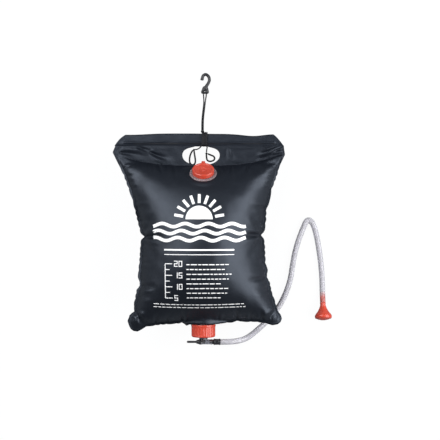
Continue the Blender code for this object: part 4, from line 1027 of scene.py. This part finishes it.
def band_path():
    """The band: its left end, its turns round the sleeve climbing along X, and its right end. A
    turn is two straight runs, front and back, and an arc over each edge of the sleeve."""
    bend_r, straight = 0.0072, 0.0150
    arc = math.pi * bend_r
    turns = np.linspace(0, 3.5, 211)
    along = (turns % 1.0) * (2 * straight + 2 * math.pi * bend_r)
    part = [along < straight, along < straight + arc, along < 2 * straight + arc]
    top = (along - straight) / bend_r
    low = (along - 2 * straight - arc) / bend_r
    y = np.select(part, [along - straight / 2, straight / 2 + 1.3 * bend_r * np.sin(top),
                         straight / 2 - (along - straight - arc)],
                  -straight / 2 - bend_r * np.sin(low))
    z = np.select(part, [bend_r + 0 * along, bend_r * np.cos(top), -bend_r + 0 * along],
                  -bend_r * np.cos(low))
    coil = np.stack([-0.0028 + 0.00325 * turns, SLEEVE_Y + y, SEAM_Z + z], axis=1)
    left = smooth_path([*LEFT_END_ROUTE, coil[0]], CORD_STEP)
    right = smooth_path([coil[-1], *RIGHT_END_ROUTE], CORD_STEP)
    return np.vstack([left[:-1], coil, right[1:]])


def knotted(name, place, body, node, size):
    """A tight knot: a trefoil, (sin t + 2 sin 2t, cos t - 2 cos 2t, -sin 3t), as a round tube."""
    t = circle(140)[0]
    line = np.stack([np.sin(t) + 2 * np.sin(2 * t), np.cos(t) - 2 * np.cos(2 * t),
                     -np.sin(3 * t)], axis=1)
    line = np.asarray(place) + line * np.asarray(size) / 3
    shape = skin(rings(line, 0.0011, 12, (0.15, 0.2, 1.0), closed=True), True)
    return new_piece(name, shape, "cord", "black_cord", body, node)


def hook_shape():
    """The hook: a bent rod with a fatter round tip, on a three-cornered eye of oval section. A
    thin web fills the eye but for the side where the cord runs."""
    bend = mm(1.06, 9.724, 1.908, 12.818, 3.816, 16.796, 8.056, 23.426, 10.6, 30.94, 8.48, 39.559,
              1.908, 44.2, -4.24, 41.106, -6.572, 33.592, -6.996, 31.382)
    rod_z = 0.0043 + 0 * bend[:, 0]
    path = smooth_path(np.column_stack([HOOK_PIVOT[:2] + bend, rod_z]), 0.001)
    share = np.linspace(0, 1, len(path))
    radius = 0.0036 + 0.0004 * step_up((share - 0.90) / 0.08) + 0.0006 * hump(share, 1 / 7)
    rod = capped(rings(path, radius, 36, UP))
    loop = rounded_outline(mm(-7.8, 0.0, 7.8, 0.0, 4.6, 14.0, -2.6, 14.0), 0.0032, 0.0006)
    line = HOOK_PIVOT + np.column_stack([loop, np.zeros(len(loop))])
    eye = skin(rings(line, 0.0025, 24, UP, oval=(1, 0.76), closed=True), True)
    web = rounded_outline(mm(-6.8, 4.2, 7.0, 4.2, 4.6, 14.0, -2.6, 14.0), 0.0010)
    web = slab((*np.eye(3), HOOK_PIVOT), web, -0.0012, 0.0012, 0.0004)
    return new_piece("hook_shape", joined(rod, eye, web), "black", "black_plastic", "hook", "hook")


# Print, a flat design in millimetres

PRINT_STEP = 2.5
LINE_STEP = 2


def ribbon(line, width):
    """A band of print along a flat line: rows of points across it, a print step apart."""
    line = resampled(line, PRINT_STEP) if len(line) < 40 else line
    ahead = unit(np.gradient(line, axis=0))
    side = np.stack([-ahead[:, 1], ahead[:, 0]], axis=1)
    across = np.linspace(-0.5, 0.5, max(2, round(width / PRINT_STEP) + 1))
    return skin(line[:, None] + width * across[None, :, None] * side[:, None], close_cols=False)


def half_disc(centre, radius):
    """The upper half of a disc of print."""
    turn = np.linspace(0, math.pi, round(math.pi * radius / LINE_STEP))[None, :]
    out = np.linspace(0, radius, round(radius / PRINT_STEP) + 1)[:, None]
    grid = np.stack([centre[0] + out * np.cos(turn), centre[1] + out * np.sin(turn)], axis=-1)
    return skin(grid, close_cols=False)


def wave_line(x0, x1, y, height, length, phase):
    """A sine wave from one x to another."""
    x = np.linspace(x0, x1, round((x1 - x0) / LINE_STEP))
    return np.stack([x, y + height * np.sin(2 * math.pi * x / length + phase)], axis=1)


# The strokes of each digit that the scale shows, and their ends in halves of its size
DIGITS = {"0": "abcdef", "1": "bc", "2": "abged", "5": "afgcd"}
STROKES = {"a": ((0, 2), (1, 2)), "b": ((1, 2), (1, 1)), "c": ((1, 1), (1, 0)),
           "d": ((0, 0), (1, 0)), "e": ((0, 0), (0, 1)), "f": ((0, 1), (0, 2)),
           "g": ((0, 1), (1, 1))}


def number(text, x, y, size):
    """A plain number made of strokes; its digits stand beside each other."""
    apart, wide, tall, over, thick = (size * share for share in (0.90, 0.56, 0.5, 0.075, 0.15))
    made = []
    for i, digit in enumerate(text):
        left = x + i * apart
        for stroke in DIGITS[digit]:
            first, last = (np.array((left + wide * a, y + tall * b)) for a, b in STROKES[stroke])
            way = over * unit(last - first)
            made.append(ribbon(resampled([first - way, last + way], LINE_STEP), thick))
    return made


def dashes(x0, x1, y, width, rng, bend=0.0):
    """A row of short bars of uneven lengths, on a line that rises by bend at its ends."""
    made, x, least, most, space = [], x0, 4, 14, 2.4
    while x < x1 - least:
        long = min(rng.uniform(least, most), x1 - x)
        line = resampled([(x, y), (x + long, y)], LINE_STEP)
        line[:, 1] += bend * ((line[:, 0] + 8) / 100) ** 2
        made.append(ribbon(line, width))
        x += long + space
    return made


def print_shapes():
    """A plain design in white: a rising sun over waves, two rules, a scale of litres, and rows of
    bars."""
    rng = np.random.default_rng(8)
    sun, disc_r, ray_start, ray_end, rays = np.array((-8, 57)), 30, 36, 56, 9
    shapes = [half_disc(sun, disc_r)]
    for i in range(rays):
        turn = math.pi * (i + 0.5) / rays
        way = np.array([math.cos(turn), math.sin(turn)])
        shapes.append(ribbon([sun + way * ray_start, sun + way * ray_end], 6.2))
    edges = (-112, 96)
    for i in range(3):
        shapes.append(ribbon(wave_line(*edges, 44 - 15.5 * i, 3.6, 52, i), 7.4))
    for y, width in ((-11, 3.4), (-21.5, 1.6)):
        shapes.append(ribbon([(-86, y), (70, y)], width))
    left, low, space, line = -84, -120, 13, 1.8
    for i in range(7):
        y = low + space * i
        shapes.append(ribbon([(left, y), (left + (10 if i % 2 else 16), y)], line))
    shapes.append(ribbon([(left, low), (left, low + 6 * space)], line))
    for i, text in enumerate(("5", "10", "15", "20")):
        shapes += number(text, left + 21, low - 5.5 + 2 * space * i, 11.5)
    for row, end in enumerate((60, 52, 64, 58, 40, 62, 54, 46)):
        shapes += dashes(-36, end, -43.5 - 10.8 * row, 2.1, rng)
    for y in (-136, -143):
        shapes += dashes(*edges, y, 1.7, rng, 2.2)
    return shapes


def print_layer(front):
    """The print as thin shapes laid on the front film from straight above it."""
    points, faces = joined(*print_shapes())
    raised = np.column_stack([points / MM, np.full(len(points), 0.24)])
    piece = new_piece("front_print", (raised, faces), "ink", None, "bag", closed=False)
    lay = piece.modifiers.new("lay", "SHRINKWRAP")
    lay.target = front
    lay.wrap_method = "PROJECT"
    lay.use_project_z = True
    lay.use_negative_direction = True
    lay.use_positive_direction = False
    lay.offset = 0.0002


# Stage


def area_lamp(name, place, sizes, power):
    """A rectangular lamp that points at the bag's middle."""
    lamp = bpy.data.lights.new(name, "AREA")
    lamp.shape = "RECTANGLE"
    lamp.size, lamp.size_y = sizes
    lamp.energy = power
    made = added(name, lamp)
    made.location = place
    way = mathutils.Vector((0, 0, 0.1)) - made.location
    made.rotation_euler = way.to_track_quat("-Z", "Y").to_euler()
    return made


def seen_directly(tree):
    """A socket that is 1 where the view is direct or through clear plastic, and else 0."""
    path = tree.nodes.new("ShaderNodeLightPath")
    most = linked(tree, "ShaderNodeMath", operation="MAXIMUM")
    for i, kind in enumerate(("Is Camera Ray", "Is Transmission Ray")):
        put(most.inputs[i], path.outputs[kind])
    return most.outputs[0]


def floor_look():
    """Pale floor: partly its own white as the camera sees it, so that it stays white while it
    keeps the shadow, with a faint grain."""
    own_white, share = 1.22, 0.78
    made = surface("pale floor", (0.15, 0.165, 0.18), (0.18, 0.195, 0.21), 0.85, 0.05, 3.0, 90.0,
                   0.03)
    tree, shade, _ = parts_of(made)
    own = linked(tree, "ShaderNodeEmission", Strength=own_white)
    mix = tree.nodes.new("ShaderNodeMixShader")
    shown = ranged(tree, seen_directly(tree), 0.0, 1.0, 0.0, share)
    for i, socket in enumerate((shown, shade.outputs[0], own.outputs[0])):
        put(mix.inputs[i], socket)
    put(tree.nodes["Material Output"].inputs["Surface"], mix.outputs[0])
    return made


def surroundings(sky):
    """White surroundings, dimmer in what they light than as they are seen."""
    world = bpy.data.worlds.new("surroundings")
    world.use_nodes = True
    tree = world.node_tree
    back = tree.nodes["Background"]
    put(back.inputs["Color"], (1, 1, 1))
    put(back.inputs["Strength"], ranged(tree, seen_directly(tree), 0.0, 1.0, sky, 1.0))
    return world


# Add-on


def diameter(name, description, default):
    """A diameter that the panel shows."""
    return bpy.props.FloatProperty(name=name, description=description, default=default, min=0.0,
                                   unit="LENGTH", precision=5)


def colour(name, description, default):
    """A colour that the panel shows."""
    return bpy.props.FloatVectorProperty(name=name, description=description, default=default,
                                         min=0.0, max=1.0, subtype="COLOR")


class CampShowerSizes(bpy.types.PropertyGroup):
    hose: diameter("Hose", "Outer diameter of the hose", 0.013)
    hose_bore: diameter("Hose bore", "Inner diameter of the hose", 0.010)
    cord: diameter("Cord", "Diameter of the cord pulled straight", 0.0028)
    hanger: diameter("Hanging cord", "Width of each strand of the hanging cord", 0.0031)
    band: diameter("Band", "Width of the cord wound round the sleeve", 0.00296)
    loop: diameter("Loops", "Width of the cord in the two loose loops", 0.0040)


class CampShowerColours(bpy.types.PropertyGroup):
    film: colour("Film", "The bag's film", (0.0022, 0.0031, 0.0056))
    film_pale: colour("Film, pale", "The film's paler patches", (0.0042, 0.0057, 0.0094))
    red: colour("Red", "The caps and the shower head", (0.43, 0.041, 0.023))
    red_pale: colour("Red, pale", "The red plastic's paler patches", (0.52, 0.066, 0.038))
    black: colour("Black", "The hook and the valve's black parts", (0.008, 0.009, 0.012))
    black_pale: colour("Black, pale", "The black plastic's paler patches", (0.016, 0.017, 0.022))
    hose: colour("Hose", "The clear hose", (0.60, 0.595, 0.64))
    hose_pale: colour("Hose, pale", "The hose's paler patches", (0.68, 0.675, 0.71))
    cord: colour("Cord", "All the cords and knots", (0.006, 0.006, 0.008))
    cord_pale: colour("Cord, pale", "The cord's paler patches", (0.016, 0.017, 0.020))
    ink: colour("Print", "The print on the front", (0.86, 0.87, 0.89))
    ink_pale: colour("Print, pale", "The print's paler patches", (0.92, 0.93, 0.94))


class CampShowerStage(bpy.types.PropertyGroup):
    lamp_power: bpy.props.FloatProperty(
        name="Lamp power", description="Power of each large side lamp", default=17.0, unit="POWER")
    sky: bpy.props.FloatProperty(
        name="Sky", description="Brightness of the surroundings on the object", default=0.13)
    lens: bpy.props.FloatProperty(
        name="Lens", description="Camera lens, in millimetres on a 36 mm sensor", default=82.0)


class CAMPSHOWER_OT_film(bpy.types.Operator):
    """Build the two sheets of the bag and its hem sleeve"""

    bl_idname = "campshower.film"
    bl_label = "Build film"

    def execute(self, context):
        print_layer(film_front())
        film_back()
        hem_sleeve()
        return {"FINISHED"}


class CAMPSHOWER_OT_fittings(bpy.types.Operator):
    """Build the filler, the outlet nut and the valve"""

    bl_idname = "campshower.fittings"
    bl_label = "Build fittings"

    def execute(self, context):
        for build in (filler_flange, filler_lid, outlet_nut, valve_tee, valve_collar,
                      valve_spike, coupling_barrel):
            build()
        return {"FINISHED"}


class CAMPSHOWER_OT_hose(bpy.types.Operator):
    """Build the hose and the shower head"""

    bl_idname = "campshower.hose"
    bl_label = "Build hose and head"

    def execute(self, context):
        bell, rose = head_bell(), head_rose()
        tube, path = hose_tube()
        across("hose")
        return {"FINISHED"}


class CAMPSHOWER_OT_cords(bpy.types.Operator):
    """Build the hanging cord, the band, the loops, the knots and the hook"""

    bl_idname = "campshower.cords"
    bl_label = "Build cords and hook"

    def execute(self, context):
        hook = hook_shape()
        place = np.array(HANGER_KNOT) - (0, 0.0006, 0)
        knot = knotted("hanger_tie", place, "hanger", "hanger_knot", (0.0032, 0.0029, 0.0024))
        path = hanger_path()
        hanger = laid("hanger_cord", path, UP, "hanger", "hang_cord", across("hanger") / 2)
        across("cord")
        laid("band_cord", band_path(), (1, 0, 0), "bag", "cord_band", across("band") / 2)
        for name, node, place, knot_node, route in (
            ("left_loop", "tether_loop", LEFT_KNOT, "tether_knot", LEFT_LOOP_ROUTE),
            ("right_loop", "tail_loop", RIGHT_KNOT, "tail_knot", RIGHT_LOOP_ROUTE),
        ):
            tie = knotted(name + "_tie", place, "bag", knot_node, (0.0018, 0.0018, 0.0018))
            path = smooth_path(route, CORD_STEP)
            loop = laid(name, path, UP, "bag", node, across("loop") / 2)
            across("cord")
        return {"FINISHED"}


class CAMPSHOWER_OT_finishes(bpy.types.Operator):
    """Give the hard pieces that stay as packed their materials"""

    bl_idname = "campshower.finishes"
    bl_label = "Finish kept pieces"

    def execute(self, context):
        for node, look in (("handle_rod", "black"), ("filler_seal", "rubber"),
                           ("outlet_spout", "flange"), ("outlet_gasket", "rubber"),
                           ("stem_ring_outer", "rubber"), ("stem_ring_inner", "rubber")):
            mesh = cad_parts[node].data
            mesh.materials.clear()
            mesh.materials.append(LOOKS[look])
        return {"FINISHED"}


class CAMPSHOWER_OT_stage(bpy.types.Operator):
    """Set the pale floor, the lamps and the camera"""

    bl_idname = "campshower.stage"
    bl_label = "Set stage"

    def execute(self, context):
        scene, values = context.scene, context.scene.camp_shower_stage
        x, y = np.meshgrid(np.linspace(-4, 4, 9), np.linspace(-4, 4, 9))
        points, faces = skin(np.stack([x, y, 0 * x], axis=-1), close_cols=False)
        mesh = bpy.data.meshes.new("floor")
        mesh.from_pydata(points.tolist(), [], faces.tolist())
        mesh.materials.append(floor_look())
        floor = added("floor", mesh)
        power = values.lamp_power
        lamps = (
            area_lamp("left_lamp", (-1.30, 0.45, 1.4), (1.2, 2.4), 2.2 * power),
            area_lamp("right_lamp", (1.50, -0.05, 1.08), (2.7, 1.5), 3.7 * power),
            area_lamp("top_lamp", (-0.9, 1.6, 1.9), (1.8, 1.4), 1.3 * power),
        )
        scene.world = surroundings(values.sky)
        camera = bpy.data.cameras.new("camera")
        camera.lens, camera.sensor_width = values.lens, 36.0
        scene.camera = added("camera", camera)
        scene.camera.location = (0.0383, 0.0552, 2.4)
        scene.view_settings.view_transform = "Standard"
        return {"FINISHED"}


class CAMPSHOWER_PT_panel(bpy.types.Panel):
    """Builds the camp shower bag piece by piece"""

    bl_idname = "CAMPSHOWER_PT_panel"
    bl_label = "Camp Shower Bag"
    bl_space_type = "VIEW_3D"
    bl_region_type = "UI"
    bl_category = "Camp Shower"

    def draw(self, context):
        for group, kind in GROUPS.items():
            for name in kind.__annotations__:
                self.layout.prop(getattr(context.scene, group), name)
        for operator in OPERATORS:
            self.layout.operator(operator.bl_idname)


OPERATORS = (CAMPSHOWER_OT_film, CAMPSHOWER_OT_fittings, CAMPSHOWER_OT_hose,
             CAMPSHOWER_OT_cords, CAMPSHOWER_OT_finishes, CAMPSHOWER_OT_stage)
GROUPS = {"camp_shower_sizes": CampShowerSizes, "camp_shower_colours": CampShowerColours,
          "camp_shower_stage": CampShowerStage}
CLASSES = (*GROUPS.values(), *OPERATORS, CAMPSHOWER_PT_panel)


def register():
    for one in CLASSES:
        bpy.utils.register_class(one)
    for group, kind in GROUPS.items():
        setattr(bpy.types.Scene, group, bpy.props.PointerProperty(type=kind))


def unregister():
    for group in GROUPS:
        delattr(bpy.types.Scene, group)
    for one in reversed(CLASSES):
        bpy.utils.unregister_class(one)


def main():
    register()
    make_looks()
    bpy.ops.campshower.film()
    bpy.ops.campshower.fittings()
    bpy.ops.campshower.hose()
    bpy.ops.campshower.cords()
    bpy.ops.campshower.finishes()
    bpy.ops.campshower.stage()


if __name__ == "__main__":
    main()
